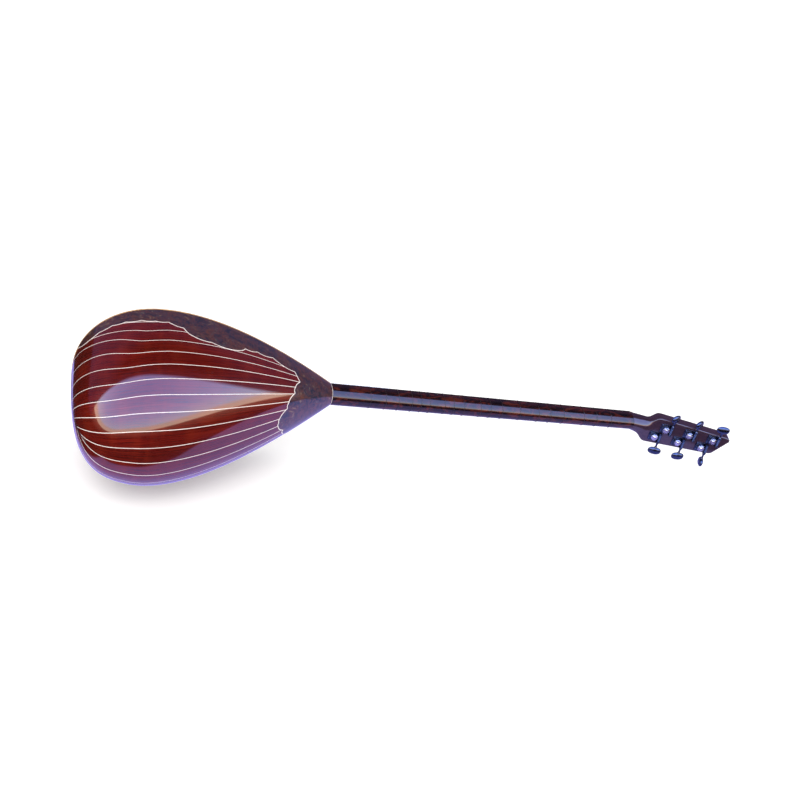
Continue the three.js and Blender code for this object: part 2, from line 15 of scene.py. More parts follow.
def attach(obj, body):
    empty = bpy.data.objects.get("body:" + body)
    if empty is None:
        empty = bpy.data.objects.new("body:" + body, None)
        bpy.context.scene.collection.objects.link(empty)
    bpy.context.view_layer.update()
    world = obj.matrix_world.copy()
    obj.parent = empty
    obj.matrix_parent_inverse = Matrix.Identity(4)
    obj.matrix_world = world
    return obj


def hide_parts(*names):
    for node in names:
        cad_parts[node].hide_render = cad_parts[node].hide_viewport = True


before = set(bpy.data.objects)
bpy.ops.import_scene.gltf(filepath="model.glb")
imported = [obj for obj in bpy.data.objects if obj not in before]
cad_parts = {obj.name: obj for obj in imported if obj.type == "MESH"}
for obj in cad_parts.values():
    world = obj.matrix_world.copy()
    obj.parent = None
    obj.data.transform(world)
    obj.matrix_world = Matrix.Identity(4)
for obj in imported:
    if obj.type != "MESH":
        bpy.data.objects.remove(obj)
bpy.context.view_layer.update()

MM = 0.001

# -------------------- shape of the instrument

BOWL_LENGTH = 412
HALF_WIDTH = 119
WIDEST_X = 130
BOWL_DEPTH = 224
DEEPEST_X = 88
TAIL_ROUND_PLAN = 2.15
TAIL_ROUND_SIDE = 3.4
PLAN_TAPER = 1.7
SIDE_TAPER = 0.6
SECTION_SIDE = 2.35
SECTION_BACK = 2.6
STAVE_COUNT = 19
STAVE_PITCH = 0.092         # of the half girth, from seam to seam
SUNK = 0.35                 # staves lie this far under the burl veneer's face
NECK_ROOT = (16.5, 25)      # half width and depth of the neck at the bowl
NECK_END = (14, 25)         # and at the nut
NUT_X = 970
BOARD = 3                   # thickness of the soundboard and the fingerboard
GAP = 0.3                   # between neighbouring pieces

HEAD_TILT = math.radians(17)
HEAD_THICK = 22
HEAD_DEPTH = NECK_END[1]    # the head grows out of the neck's full depth


def place(x, s, d):
    """A station as a point of the frame, in metres."""
    return Vector((x - WIDEST_X, -d, s + HALF_WIDTH)) * MM


def profile(x, size, peak, power, taper, end, inset):
    """Half width or depth of the bowl at x, for a surface set in by inset."""
    if x < peak:
        ratio = min(max((peak - x) / (peak - inset), 0), 1)
        return (size - inset) * (1 - ratio ** power) ** (1 / power)
    u = (x - peak) / (BOWL_LENGTH - peak)
    fall = u * u * (1 + taper) / (u + taper)
    return end - inset + (size - end) * (1 - fall)


def half_width(x, inset=0):
    return profile(x, HALF_WIDTH, WIDEST_X, TAIL_ROUND_PLAN, PLAN_TAPER, NECK_ROOT[0], inset)


def depth(x, inset=0):
    return profile(x, BOWL_DEPTH, DEEPEST_X, TAIL_ROUND_SIDE, SIDE_TAPER, NECK_ROOT[1], inset)


def half_girth(w, d):
    """Running share of the half girth, with its points, from keel to rim."""
    angle = np.linspace(0, math.pi / 2, 161)
    s = w * np.sin(angle) ** (2 / SECTION_SIDE)
    back = d * np.clip(np.cos(angle), 0, 1) ** (2 / SECTION_BACK)
    back[-1] = 0
    run = np.concatenate(([0], np.cumsum(np.hypot(np.diff(s), np.diff(back)))))
    return run / run[-1], s, back


@lru_cache(maxsize=4000)
def bowl_section(x):
    return half_girth(half_width(x), depth(x))


CUT_SHARES = np.linspace(0, 1, 161)
TRACK_POWER = 2.25          # how late the tail's lines leave their girth fraction
FARTHEST = 400.0            # more than any cut reaches
NEAR_ZERO = 1e-3


@lru_cache(maxsize=400)
def tail_cut(angle):
    """(x, s, d) along the cut that swings about the rim's widest line.

    At 90 degrees the cut is the widest section, and at 0 it lies in the rim plane.
    """
    swing = math.pi / 2 - math.radians(angle)
    s = HALF_WIDTH * np.sin(np.linspace(0, math.pi / 2, 121))
    low = np.zeros(len(s))
    high = np.full(len(s), FARTHEST)
    for _ in range(30):
        mid = (low + high) / 2
        back = mid * math.cos(swing)
        x = [WIDEST_X - reach * math.sin(swing) for reach in mid]
        w = np.array([max(half_width(value), NEAR_ZERO) for value in x])
        deep = np.array([max(depth(value), NEAR_ZERO) for value in x])
        outside = (s / w) ** SECTION_SIDE + (back / deep) ** SECTION_BACK > 1
        outside = outside | (np.array(x) < 0)
        high = np.where(outside, mid, high)
        low = np.where(outside, low, mid)
    x = WIDEST_X - low * math.sin(swing)
    back = low * math.cos(swing)
    steps = np.sqrt(np.diff(x) ** 2 + np.diff(s) ** 2 + np.diff(back) ** 2)
    run = np.concatenate(([0], np.cumsum(steps)))
    return np.array([np.interp(CUT_SHARES, run / run[-1], line) for line in (x, s, back)])


def tail_spot(angle, share):
    """(x, s, d) on the tail, between the two nearest whole cuts."""
    first = min(int(angle), 89)
    blend = angle - first
    table = tail_cut(first) * (1 - blend) + tail_cut(first + 1) * blend
    return tuple(float(np.interp(share, CUT_SHARES, line)) for line in table)


# where a line of the back at a girth fraction ends on the tail: (fraction, cut angle, share)
TAIL_ENDS = np.array([
    (0.0, 58, 0.0), (0.046, 56, 0.0), (0.138, 52.6, 0.0), (0.23, 47.8, 0.0), (0.322, 42.6, 0.0),
    (0.414, 36, 0.0), (0.506, 26.3, 0.0), (0.598, 13.2, 0.0), (0.645, 0, 0.0),
    (0.69, 0, 0.06), (0.782, 0, 0.195), (0.874, 0, 0.4), (0.955, 0, 0.72), (1.0, 0, 1.0),
])


@lru_cache(maxsize=60000)
def bowl_spot(v, u):
    """(x, s, d) on the bowl: v is x from the widest station on, and falls to 0 at the tail.

    u is the girth fraction: 0 is the keel, -1 and 1 are the rims. Behind the widest
    station the lines of equal u run down towards the tail's middle line and the rim.
    """
    side = abs(u)
    if v >= WIDEST_X:
        share, s, back = bowl_section(v)
        across = float(np.interp(side, share, s))
        return v, math.copysign(across, u), float(np.interp(side, share, back))
    gone = 1 - v / WIDEST_X
    end_angle = float(np.interp(side, TAIL_ENDS[:, 0], TAIL_ENDS[:, 1]))
    end_share = float(np.interp(side, TAIL_ENDS[:, 0], TAIL_ENDS[:, 2]))
    angle = 90 + (end_angle - 90) * gone
    x, s, back = tail_spot(angle, side + (end_share - side) * gone ** TRACK_POWER)
    return x, math.copysign(s, u), back


def surface_normal(x, s, d):
    """The bowl's outward direction at a point of its surface."""
    x = max(x, NEAR_ZERO)
    step = min(0.01, x * 0.1)
    w, deep = half_width(x), depth(x)
    narrowing = (half_width(x + step) - half_width(x - step)) / (2 * step)
    shallowing = (depth(x + step) - depth(x - step)) / (2 * step)
    side = (abs(s) / w) ** (SECTION_SIDE - 1)
    back = (max(d, 0) / deep) ** (SECTION_BACK - 1)
    along = -SECTION_SIDE * side * abs(s) / w * narrowing / w
    along -= SECTION_BACK * back * max(d, 0) / deep * shallowing / deep
    across = math.copysign(SECTION_SIDE * side / w, s)
    return Vector((along, -SECTION_BACK * back / deep, across)).normalized()


def x_through(s, d):
    """The station near the tail whose section passes through (s, d)."""
    low, high = -9.0, 2.0
    for _ in range(40):
        mid = (low + high) / 2
        x = 10 ** mid
        outside = (abs(s) / half_width(x)) ** SECTION_SIDE + (d / depth(x)) ** SECTION_BACK > 1
        low, high = (mid, high) if outside else (low, mid)
    return 10 ** low


def side_at(x, d):
    """How far out the section at x lies at depth d."""
    ratio = min(max(d, 0) / depth(x), 1)
    return half_width(x) * (1 - ratio ** SECTION_BACK) ** (1 / SECTION_SIDE)


def seam(k):
    """Girth fraction of seam k, 0 lowest."""
    return (k - STAVE_COUNT / 2) * STAVE_PITCH


# -------------------- mesh helpers

def put_in_scene(name, mesh):
    obj = bpy.data.objects.new(name, mesh)
    bpy.context.scene.collection.objects.link(obj)
    return obj


def smooth_object(name, verts, faces):
    mesh = bpy.data.meshes.new(name)
    mesh.from_pydata([tuple(v) for v in verts], [], faces)
    mesh.validate()
    obj = put_in_scene(name, mesh)
    mesh.polygons.foreach_set("use_smooth", [True] * len(mesh.polygons))
    tidy_normals(obj)
    return obj


def circle(radius, sides):
    """Points (p, q) round a circle."""
    angles = (2 * math.pi * k / sides for k in range(sides))
    return [(radius * math.cos(a), radius * math.sin(a)) for a in angles]


def tidy_normals(obj):
    bm = bmesh.new()
    bm.from_mesh(obj.data)
    bmesh.ops.recalc_face_normals(bm, faces=bm.faces)
    bm.to_mesh(obj.data)
    bm.free()


def finish_piece(obj, material, slot, *nodes):
    """Gives a piece its material and hides the CAD nodes that it stands for; slot is not used."""
    obj.data.materials.clear()
    obj.data.materials.append(material)
    if nodes:
        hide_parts(*nodes)


def apply_modifiers(obj):
    graph = bpy.context.evaluated_depsgraph_get()
    mesh = bpy.data.meshes.new_from_object(obj.evaluated_get(graph))
    obj.modifiers.clear()
    obj.data = mesh


def sharp_edges(obj, degrees):
    """Smooth faces, with edges sharper than an angle kept crisp."""
    limit = math.radians(degrees)
    bm = bmesh.new()
    bm.from_mesh(obj.data)
    for edge in bm.edges:
        edge.smooth = len(edge.link_faces) == 2 and edge.calc_face_angle(0) < limit
    for face in bm.faces:
        face.smooth = True
    bm.to_mesh(obj.data)
    bm.free()


def bevel(obj, width):
    """Rounds an object's hard edges by a width in millimetres."""
    modifier = obj.modifiers.new("edges", "BEVEL")
    modifier.width = width * MM
    modifier.segments = 2
    modifier.limit_method = "ANGLE"
    modifier.angle_limit = math.radians(35)
    apply_modifiers(obj)
    sharp_edges(obj, 50)


def loft_faces(rings, count, closed=False):
    faces = []
    for r in range(rings if closed else rings - 1):
        a0, b0 = r * count, ((r + 1) % rings) * count
        for i in range(count):
            j = (i + 1) % count
            faces.append((a0 + i, a0 + j, b0 + j, b0 + i))
    if not closed:
        faces.append(tuple(range(count)))
        faces.append(tuple((rings - 1) * count + i for i in range(count)))
    return faces


def loft(name, rings, body="instrument", closed=False):
    """A solid through rings of points, capped at both ends unless closed."""
    verts = [point for ring in rings for point in ring]
    obj = smooth_object(name, verts, loft_faces(len(rings), len(rings[0]), closed))
    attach(obj, body)
    return obj


def heading(points, i, closed):
    """Which way a row of points runs at one of them."""
    if closed:
        return points[(i + 1) % len(points)] - points[i - 1]
    return points[min(i + 1, len(points) - 1)] - points[max(i - 1, 0)]


def ribbon(name, points, normals, width, thick, closed=False):
    """A strip of rounded-rectangular section along points, its top standing on them."""
    rings = []
    for i, (point, normal) in enumerate(zip(points, normals)):
        side = heading(points, i, closed).cross(normal).normalized() * (width / 2 * MM)
        low = normal * (-thick * MM)
        crown = normal * (0.04 * MM)
        rings.append([
            point - side + low, point - side, point - side * 0.5 + crown,
            point + side * 0.5 + crown, point + side, point + side + low,
        ])
    obj = loft(name, rings, closed=closed)
    sharp_edges(obj, 45)
    return obj


def plate(name, grid, faces_in, normals, grain=None):
    """A curved plate between two grids of points, its outer face shaded by given normals."""
    rows, cols = len(grid), len(grid[0])
    verts = [p for row in grid for p in row] + [p for row in faces_in for p in row]
    half = rows * cols
    outer = []
    for i in range(rows - 1):
        for j in range(cols - 1):
            n = i * cols + j
            outer.append((n, n + 1, n + cols + 1, n + cols))
    middle = outer[len(outer) // 2]
    a, b, d = (verts[middle[n]] for n in (0, 1, 3))
    flat_normals = [n for row in normals for n in row]
    if (b - a).cross(d - a).dot(flat_normals[middle[0]]) < 0:
        outer = [tuple(reversed(face)) for face in outer]
    inner = [tuple(half + n for n in reversed(face)) for face in outer]
    loop = list(range(cols - 1))
    loop += range(cols - 1, half - 1, cols)
    loop += range(half - 1, half - cols, -1)
    loop += range(half - cols, 0, -cols)
    sides = []
    for n, p in enumerate(loop):
        q = loop[(n + 1) % len(loop)]
        sides.append((p, q, half + q, half + p))
    obj = smooth_object(name, verts, outer + inner + sides)
    mesh = obj.data
    split = []
    for n, face in enumerate(mesh.polygons):
        for vertex in face.vertices:
            split.append(flat_normals[vertex] if n < len(outer) else face.normal.copy())
    mesh.normals_split_custom_set([tuple(v) for v in split])
    if grain is not None:
        layer = mesh.uv_layers.new(name="grain")
        flat = [g for row in grain for g in row]
        for face in mesh.polygons:
            for index in face.loop_indices:
                vertex = mesh.loops[index].vertex_index % half
                layer.data[index].uv = flat[vertex]
    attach(obj, "instrument")
    return obj


# -------------------- node materials

def new_material(name):
    material = bpy.data.materials.new(name)
    material.use_nodes = True
    tree = material.node_tree
    tree.nodes.clear()
    out = tree.nodes.new("ShaderNodeOutputMaterial")
    shader = tree.nodes.new("ShaderNodeBsdfPrincipled")
    tree.links.new(shader.outputs[0], out.inputs[0])
    return material, tree, shader


def add(tree, kind, inputs=None, **settings):
    """A node, with plain values or linked sockets as its inputs."""
    node = tree.nodes.new(kind)
    for key, value in settings.items():
        setattr(node, key, value)
    for key, value in (inputs or {}).items():
        if isinstance(value, bpy.types.NodeSocket):
            tree.links.new(value, node.inputs[key])
        else:
            node.inputs[key].default_value = value
    return node


def object_coords(tree, scale=(1, 1, 1), turn=(0, 0, 0)):
    coords = add(tree, "ShaderNodeTexCoord")
    mapping = add(tree, "ShaderNodeMapping", {
        "Vector": coords.outputs["Object"], "Scale": scale, "Rotation": turn,
    })
    return mapping.outputs[0]


def noise(tree, vector, scale, detail=4, rough=0.55, warp=0.0):
    node = add(tree, "ShaderNodeTexNoise", {
        "Vector": vector, "Scale": scale, "Detail": detail, "Roughness": rough,
        "Distortion": warp,
    })
    return node.outputs[0]


def ramp(tree, value, *stops):
    """A colour ramp; each stop is (position, colour)."""
    node = add(tree, "ShaderNodeValToRGB", {"Fac": value})
    elements = node.color_ramp.elements
    while len(elements) < len(stops):
        elements.new(0.5)
    for element, (position, colour) in zip(elements, stops):
        element.position = position
        element.color = (*colour, 1)
    return node.outputs[0]


def mix(tree, factor, a, b, blend="MIX"):
    node = tree.nodes.new("ShaderNodeMix")
    node.data_type = "RGBA"
    node.blend_type = blend
    for index, value in ((0, factor), (6, a), (7, b)):
        if isinstance(value, bpy.types.NodeSocket):
            tree.links.new(value, node.inputs[index])
        else:
            node.inputs[index].default_value = value if index == 0 else (*value, 1)
    return node.outputs[2]


def bump(tree, shader, height, strength, distance):
    node = add(tree, "ShaderNodeBump", {
        "Height": height, "Strength": strength, "Distance": distance * MM,
    })
    tree.links.new(node.outputs[0], shader.inputs["Normal"])


def spread(tree, value, low, high):
    """A value from 0 to 1, stretched to low .. high."""
    node = add(tree, "ShaderNodeMapRange", {"Value": value, "To Min": low, "To Max": high})
    return node.outputs[0]


def rise(tree, value, start, end):
    """0 below start, 1 above end."""
    node = add(tree, "ShaderNodeMapRange", {"Value": value, "From Min": start, "From Max": end})
    return node.outputs[0]


def finish_surface(tree, shader, colour, source, smoothest, roughest):
    """Colour, and a roughness that follows a noise."""
    tree.links.new(colour, shader.inputs["Base Color"])
    tree.links.new(spread(tree, source, smoothest, roughest), shader.inputs["Roughness"])


def stretched(tree, vector, scale, turn=0.0):
    return add(tree, "ShaderNodeMapping", {
        "Vector": vector, "Scale": scale, "Rotation": (0, 0, turn),
    }).outputs[0]


def mahogany_material(number):
    """Red mahogany ribbon grain under clear gloss; each stave is cut from its own plank."""
    material, tree, shader = new_material(f"mahogany_{number:02d}")
    along = add(tree, "ShaderNodeUVMap", uv_map="grain").outputs[0]
    shift = (0.37 * number, 0.11 * number, 0)
    plank = add(tree, "ShaderNodeVectorMath", {0: along, 1: shift}).outputs[0]
    fine = noise(tree, stretched(tree, plank, (7, 260, 1)), 1.6, 7, 0.65)
    broad = noise(tree, stretched(tree, plank, (3, 55, 1)), 1.5, 2, 0.5, 0.6)
    flame = noise(tree, stretched(tree, plank, (26, 7, 1), 0.25), 1.3, 2, 0.5)
    tone = 0.82 + 0.3 * ((number * 7) % 5) / 4
    dark = (0.04 * tone, 0.0012, 0.0008)
    mid = (0.13 * tone, 0.0032, 0.0012)
    light = (0.27 * tone, 0.016 * tone, 0.002)
    base = ramp(tree, fine, (0.28, dark), (0.52, mid), (0.8, light))
    deeper = mix(tree, spread(tree, broad, 0.1, 1.0), (0.05, 0.0016, 0.001), base)
    glow = mix(tree, spread(tree, flame, -0.6, 0.8), deeper, (0.34, 0.032, 0.004))
    finish_surface(tree, shader, mix(tree, 0.3, deeper, glow), fine, 0.2, 0.36)
    gloss_coat(shader)
    bump(tree, shader, fine, 0.05, 0.1)
    return material


def gloss_coat(shader, weight=1.0, roughness=0.02):
    shader.inputs["Specular IOR Level"].default_value = 0.15
    shader.inputs["Coat Weight"].default_value = weight
    shader.inputs["Coat Roughness"].default_value = roughness
    shader.inputs["Coat IOR"].default_value = 1.7


def burl_material():
    """Dark burl: slate, brown and tan clouds with small eyes."""
    material, tree, shader = new_material("burl")
    coords = object_coords(tree, (1, 1, 1.3))
    clouds = noise(tree, coords, 72, 5, 0.62, 1.6)
    patches = noise(tree, coords, 30, 3, 0.5, 0.8)
    eyes = add(tree, "ShaderNodeTexVoronoi", {
        "Vector": coords, "Scale": 115, "Randomness": 1.0,
    }).outputs["Distance"]
    base = ramp(
        tree, clouds, (0.36, (0.002, 0.002, 0.006)), (0.45, (0.01, 0.012, 0.024)),
        (0.52, (0.1, 0.024, 0.014)), (0.58, (0.014, 0.018, 0.036)), (0.68, (0.2, 0.12, 0.065)),
    )
    cool = ramp(tree, patches, (0.4, (0.016, 0.024, 0.05)), (0.6, (0.11, 0.04, 0.026)))
    tinted = mix(tree, 0.38, base, cool)
    eyed = mix(tree, ramp(tree, eyes, (0.05, (0.75,) * 3), (0.28, (0.0,) * 3)), tinted,
               (0.02, 0.012, 0.012))
    finish_surface(tree, shader, eyed, clouds, 0.24, 0.4)
    gloss_coat(shader)
    bump(tree, shader, clouds, 0.06, 0.15)
    return material


def neck_material():
    """Nearly black neck wood with red and brown mottling, polished."""
    material, tree, shader = new_material("dark_neck")
    coords = object_coords(tree, (1, 2.2, 2.2))
    clouds = noise(tree, coords, 42, 5, 0.6, 1.2)
    fibres = noise(tree, object_coords(tree, (14, 420, 420)), 1.3, 5, 0.6)
    base = ramp(
        tree, clouds, (0.36, (0.003, 0.002, 0.006)), (0.5, (0.014, 0.004, 0.007)),
        (0.62, (0.08, 0.012, 0.009)), (0.74, (0.05, 0.026, 0.014)),
    )
    lined = mix(tree, spread(tree, fibres, -0.4, 0.8), base, (0.35, 0.3, 0.35), "MULTIPLY")
    finish_surface(tree, shader, lined, fibres, 0.2, 0.34)
    gloss_coat(shader, 0.65)
    bump(tree, shader, fibres, 0.04, 0.08)
    return material


def lacquer_material():
    """The head's deep plum lacquer over fine grain."""
    material, tree, shader = new_material("head_lacquer")
    fibres = noise(tree, object_coords(tree, (18, 380, 380), (0, 0, 0.3)), 1.2, 6, 0.6)
    clouds = noise(tree, object_coords(tree), 38, 3, 0.5, 0.5)
    base = ramp(tree, fibres, (0.32, (0.014, 0.006, 0.014)), (0.7, (0.045, 0.018, 0.032)))
    hazed = mix(tree, spread(tree, clouds, 0, 0.5), base, (0.04, 0.026, 0.07))
    finish_surface(tree, shader, hazed, clouds, 0.22, 0.4)
    gloss_coat(shader, 1.0, 0.05)
    bump(tree, shader, fibres, 0.05, 0.08)
    return material


def spruce_material():
    """Fine straight-grained soundboard, honey with darker winter lines."""
    material, tree, shader = new_material("spruce")
    coords = object_coords(tree)
    lines = add(tree, "ShaderNodeTexWave", {
        "Vector": coords, "Scale": 190, "Distortion": 0.7, "Detail": 2, "Detail Scale": 0.4,
    }, bands_direction="Z").outputs[1]
    silk = noise(tree, object_coords(tree, (9, 1, 160)), 2.0, 4)
    base = ramp(tree, lines, (0.15, (0.62, 0.39, 0.18)), (0.85, (0.4, 0.2, 0.075)))
    warm = mix(tree, spread(tree, silk, 0, 0.5), base, (0.68, 0.43, 0.2))
    finish_surface(tree, shader, warm, silk, 0.3, 0.45)
    gloss_coat(shader, 0.5, 0.12)
    bump(tree, shader, lines, 0.05, 0.1)
    return material


def plain_wood_material(name, dark, light, grain_scale, roughness, coat=0.0):
    """A straight-grained wood from its dark and light tones."""
    material, tree, shader = new_material(name)
    fibres = noise(tree, object_coords(tree, (10, grain_scale, grain_scale)), 1.5, 6, 0.62)
    cloud = noise(tree, object_coords(tree), 30, 3)
    base = ramp(tree, fibres, (0.3, dark), (0.7, light))
    toned = mix(tree, spread(tree, cloud, 0, 0.35), base, dark)
    finish_surface(tree, shader, toned, fibres, roughness * 0.8, roughness * 1.2)
    gloss_coat(shader, coat, 0.1)
    bump(tree, shader, fibres, 0.12, 0.1)
    return material


def bone_material():
    """Off-white bone or holly line with the faintest mottling."""
    material, tree, shader = new_material("bone")
    cloud = noise(tree, object_coords(tree), 160, 4)
    base = ramp(tree, cloud, (0.3, (0.78, 0.7, 0.66)), (0.7, (0.93, 0.86, 0.84)))
    finish_surface(tree, shader, base, cloud, 0.25, 0.4)
    gloss_coat(shader, 0.6, 0.05)
    bump(tree, shader, cloud, 0.04, 0.05)
    return material


def metal_material(name, colour, roughness):
    """Polished metal with fine rubbing marks and slightly dulled patches."""
    material, tree, shader = new_material(name)
    rub = noise(tree, object_coords(tree, (300, 300, 40)), 1.0, 3)
    dull = noise(tree, object_coords(tree), 210, 3)
    darker = tuple(c * 0.72 for c in colour)
    base = ramp(tree, dull, (0.35, darker), (0.6, colour))
    finish_surface(tree, shader, base, rub, roughness * 0.7, roughness * 1.4)
    shader.inputs["Metallic"].default_value = 1.0
    bump(tree, shader, rub, 0.05, 0.03)
    return material


BURL = burl_material()
NECK_WOOD = neck_material()
LACQUER = lacquer_material()
SPRUCE = spruce_material()
INNER = plain_wood_material("inner_wood", (0.32, 0.19, 0.09), (0.52, 0.35, 0.19), 160, 0.7)
EBONY = plain_wood_material("ebony", (0.008, 0.006, 0.006), (0.03, 0.02, 0.016), 320, 0.32, 0.4)
MAPLE = plain_wood_material("maple", (0.42, 0.24, 0.1), (0.66, 0.43, 0.22), 220, 0.42, 0.3)
BONE = bone_material()
STEEL = metal_material("string_steel", (0.75, 0.75, 0.78), 0.22)
BRONZE = metal_material("wound_string", (0.7, 0.52, 0.3), 0.3)
NICKEL = metal_material("nickel", (0.93, 0.96, 1.0), 0.22)
CHROME = metal_material("smoked_chrome", (0.075, 0.1, 0.17), 0.24)
GUT = plain_wood_material("fret_line", (0.012, 0.008, 0.01), (0.04, 0.025, 0.02), 500, 0.3, 0.8)


# -------------------- bowl

# the veneer's scalloped edge on the sides: (x, depth) of each cusp behind the widest
# station, then (x, girth fraction) of each cusp towards the neck
TAIL_CUSPS = [(6.5, 3), (11, 17), (19, 25), (33, 26), (51, 27), (70, 30), (92, 33), (112, 37)]
SIDE_CUSPS = [
    (131, 0.865), (153, 0.82), (161, 0.765), (195, 0.72), (243, 0.713), (250, 0.75),
    (271, 0.765), (298, 0.77), (337, 0.67), (345, 0.505),
]
# and across the neck end: (girth fraction, x)
NECK_CUSPS = [
    (0, 311), (0.06, 312), (0.15, 323), (0.215, 324), (0.33, 335), (0.415, 336), (0.505, 345),
]
TONGUE_REACH = 196          # the burl tongue runs this far up the tail's middle line


def scallops(cusps, sag, steps=9):
    """Arcs through a row of cusps, each bellied by sag times its length."""
    points = []
    for (a0, b0), (a1, b1) in zip(cusps, cusps[1:]):
        reach = abs(a1 - a0)
        for n in range(steps):
            t = n / steps
            belly = sag * reach * 4 * t * (1 - t)
            points.append((a0 + (a1 - a0) * t, b0 + (b1 - b0) * t + belly))
    points.append(cusps[-1])
    return points


def side_cusps():
    cusps = list(TAIL_CUSPS)
    for x, u in SIDE_CUSPS:
        cusps.append((x, bowl_spot(x, u)[2]))
    return cusps


SIDE_EDGE = scallops(side_cusps(), 0.125)
NECK_EDGE = scallops(NECK_CUSPS, -20)


def bowl_stations(end, tail_steps, front_steps):
    """Even steps round the tail and on to a station near the neck."""
    tail = [WIDEST_X * n / tail_steps for n in range(tail_steps)]
    span = end - WIDEST_X
    return tail + [WIDEST_X + span * n / front_steps for n in range(front_steps + 1)]


def sunk(spot, inset):
    """A spot of the bowl's surface, moved in by inset."""
    return place(*spot) - surface_normal(*spot) * (inset * MM)


TAIL_GRAIN = 2.1            # length along the wood for each step of v round the tail
GIRTH_GRAIN = 0.25          # metres across the wood for half a girth


def grain_along(v):
    """Distance along the wood, roughly true to length round the tail."""
    return WIDEST_X - (WIDEST_X - v) * TAIL_GRAIN if v < WIDEST_X else v


def spot_plate(name, spots, inset, thick, grain=None):
    """A shell piece of the bowl from a grid of spots."""
    outer = [[sunk(spot, inset) for spot in row] for row in spots]
    inner = [[sunk(spot, inset + thick) for spot in row] for row in spots]
    normals = [[surface_normal(*spot) for spot in row] for row in spots]
    return plate(name, outer, inner, normals, grain)


def bowl_plate(name, grid_vu, inset, thick):
    """A shell piece of the bowl from a grid of (v, u)."""
    spots = [[bowl_spot(v, u) for v, u in row] for row in grid_vu]
    grain = [[(grain_along(v) * MM, u * GIRTH_GRAIN) for v, u in row] for row in grid_vu]
    return spot_plate(name, spots, inset, thick, grain)


def inlay(name, spots, width, thick, inset=0.02):
    """A white line let into the bowl along spots of its surface."""
    points = [sunk(spot, inset) for spot in spots]
    normals = [surface_normal(*spot) for spot in spots]
    finish_piece(ribbon(name, points, normals, width, thick), BONE, "bone")


UNDER_BAND = 0.955          # girth fraction where the staves end under the rim bands
STAVES_END = 352            # and x where they end under the neck cap
STAVE_THICK = 2.4
VENEER = (0.02, 1.1)        # how far the burl is set in, and its thickness


def add_staves():
    stations = bowl_stations(STAVES_END, 34, 30)
    half_gap = 0.0006
    for k in range(STAVE_COUNT):
        number = STAVE_COUNT - k
        # the outermost staves run on under the rim bands
        low = -UNDER_BAND if k == 0 else seam(k) + half_gap
        high = UNDER_BAND if number == 1 else seam(k + 1) - half_gap
        columns = 6 if k == STAVE_COUNT // 2 else 5
        girths = [low + (high - low) * n / columns for n in range(columns + 1)]
        grid = [[(x, u) for u in girths] for x in stations]
        name = f"stave_wood_{number:02d}"
        obj = bowl_plate(name, grid, SUNK, STAVE_THICK)
        finish_piece(obj, mahogany_material(number), "mahogany_stave", f"stave_{number:02d}")


def add_seam_lines():
    stations = bowl_stations(STAVES_END - 2, 64, 50)
    for k in range(STAVE_COUNT + 1):
        spots = [bowl_spot(v, seam(k)) for v in stations]
        inlay(f"seam_line_{k + 1:02d}", spots, 0.95, 0.8, SUNK)


def add_rim_bands():
    for side, word in ((1, "upper"), (-1, "lower")):
        spots = []
        for x, edge in SIDE_EDGE:
            depths = [edge * (1 - n / 7) for n in range(8)]
            spots.append([(x, side * side_at(x, d), d) for d in depths])
        band = spot_plate(f"rim_burl_{word}", spots, *VENEER)
        finish_piece(band, BURL, "burl_veneer", f"rim_band_{word}")
        inlay(f"rim_burl_line_{word}", [row[0] for row in spots], 1.1, 0.9)


def neck_edge_x(u):
    """Where the neck cap's veneer starts at girth fraction u."""
    us = [p[0] for p in NECK_EDGE]
    xs = [p[1] for p in NECK_EDGE]
    return float(np.interp(abs(u), us, xs))


def add_neck_cap():
    half = [p[0] for p in NECK_EDGE] + [0.55, 0.6, 0.66, 0.72, 0.79, 0.86, 0.93, 0.9995]
    girths = [-u for u in reversed(half[1:])] + half
    rows = 16
    grid = []
    for n in range(rows + 1):
        t = n / rows
        row = []
        for u in girths:
            start = neck_edge_x(u)
            row.append((start + (BOWL_LENGTH - start) * t, u))
        grid.append(row)
    cap = bowl_plate("neck_cap_burl", grid, *VENEER)
    finish_piece(cap, BURL, "burl_veneer", "neck_cap")
    half_line = [(neck_edge_x(u), u) for u, _ in NECK_EDGE]
    edge = [(x, -u) for x, u in reversed(half_line[1:])] + half_line
    inlay("neck_cap_line", [bowl_spot(x, u) for x, u in edge], 1.25, 0.9)


def add_tail_tongue():
    """A slim tongue of burl over the line where the staves' ends meet on the tail."""
    rows, cols = 60, 8
    spots = []
    for i in range(rows + 1):
        d = TONGUE_REACH * i / rows
        wide = 3.2 - 2.2 * (i / rows) ** 2
        row = [wide * (2 * j / cols - 1) for j in range(cols + 1)]
        spots.append([(x_through(s, d), s, d) for s in row])
    tongue = spot_plate("tail_tongue", spots, 0.02, 0.9)
    finish_piece(tongue, BURL, "burl_veneer", "tail_cap")


def add_joint_ring():
    """The white ring where the bowl meets the neck."""
    girths = [-1 + 2 * n / 48 for n in range(49)]
    points = [place(*bowl_spot(BOWL_LENGTH - 0.2, u)) for u in girths]
    normals = [surface_normal(*bowl_spot(BOWL_LENGTH - 1.5, u)) for u in girths]
    finish_piece(ribbon("joint_ring", points, normals, 1.0, 1.2), BONE, "bone")


# -------------------- neck and frets

def neck_size(x):
    """Half width and depth of the neck at x."""
    t = (x - BOWL_LENGTH) / (NUT_X - BOWL_LENGTH)
    w = NECK_ROOT[0] + (NECK_END[0] - NECK_ROOT[0]) * t
    return w, NECK_ROOT[1] + (NECK_END[1] - NECK_ROOT[1]) * t


def round_back(x, w, d, count=40):
    """A D-shaped section with its flat side at the front."""
    share, s, back = half_girth(w, d)
    ring = []
    for n in range(count + 1):
        u = -1 + 2 * n / count
        across = math.copysign(float(np.interp(abs(u), share, s)), u)
        ring.append(place(x, across, float(np.interp(abs(u), share, back))))
    return ring


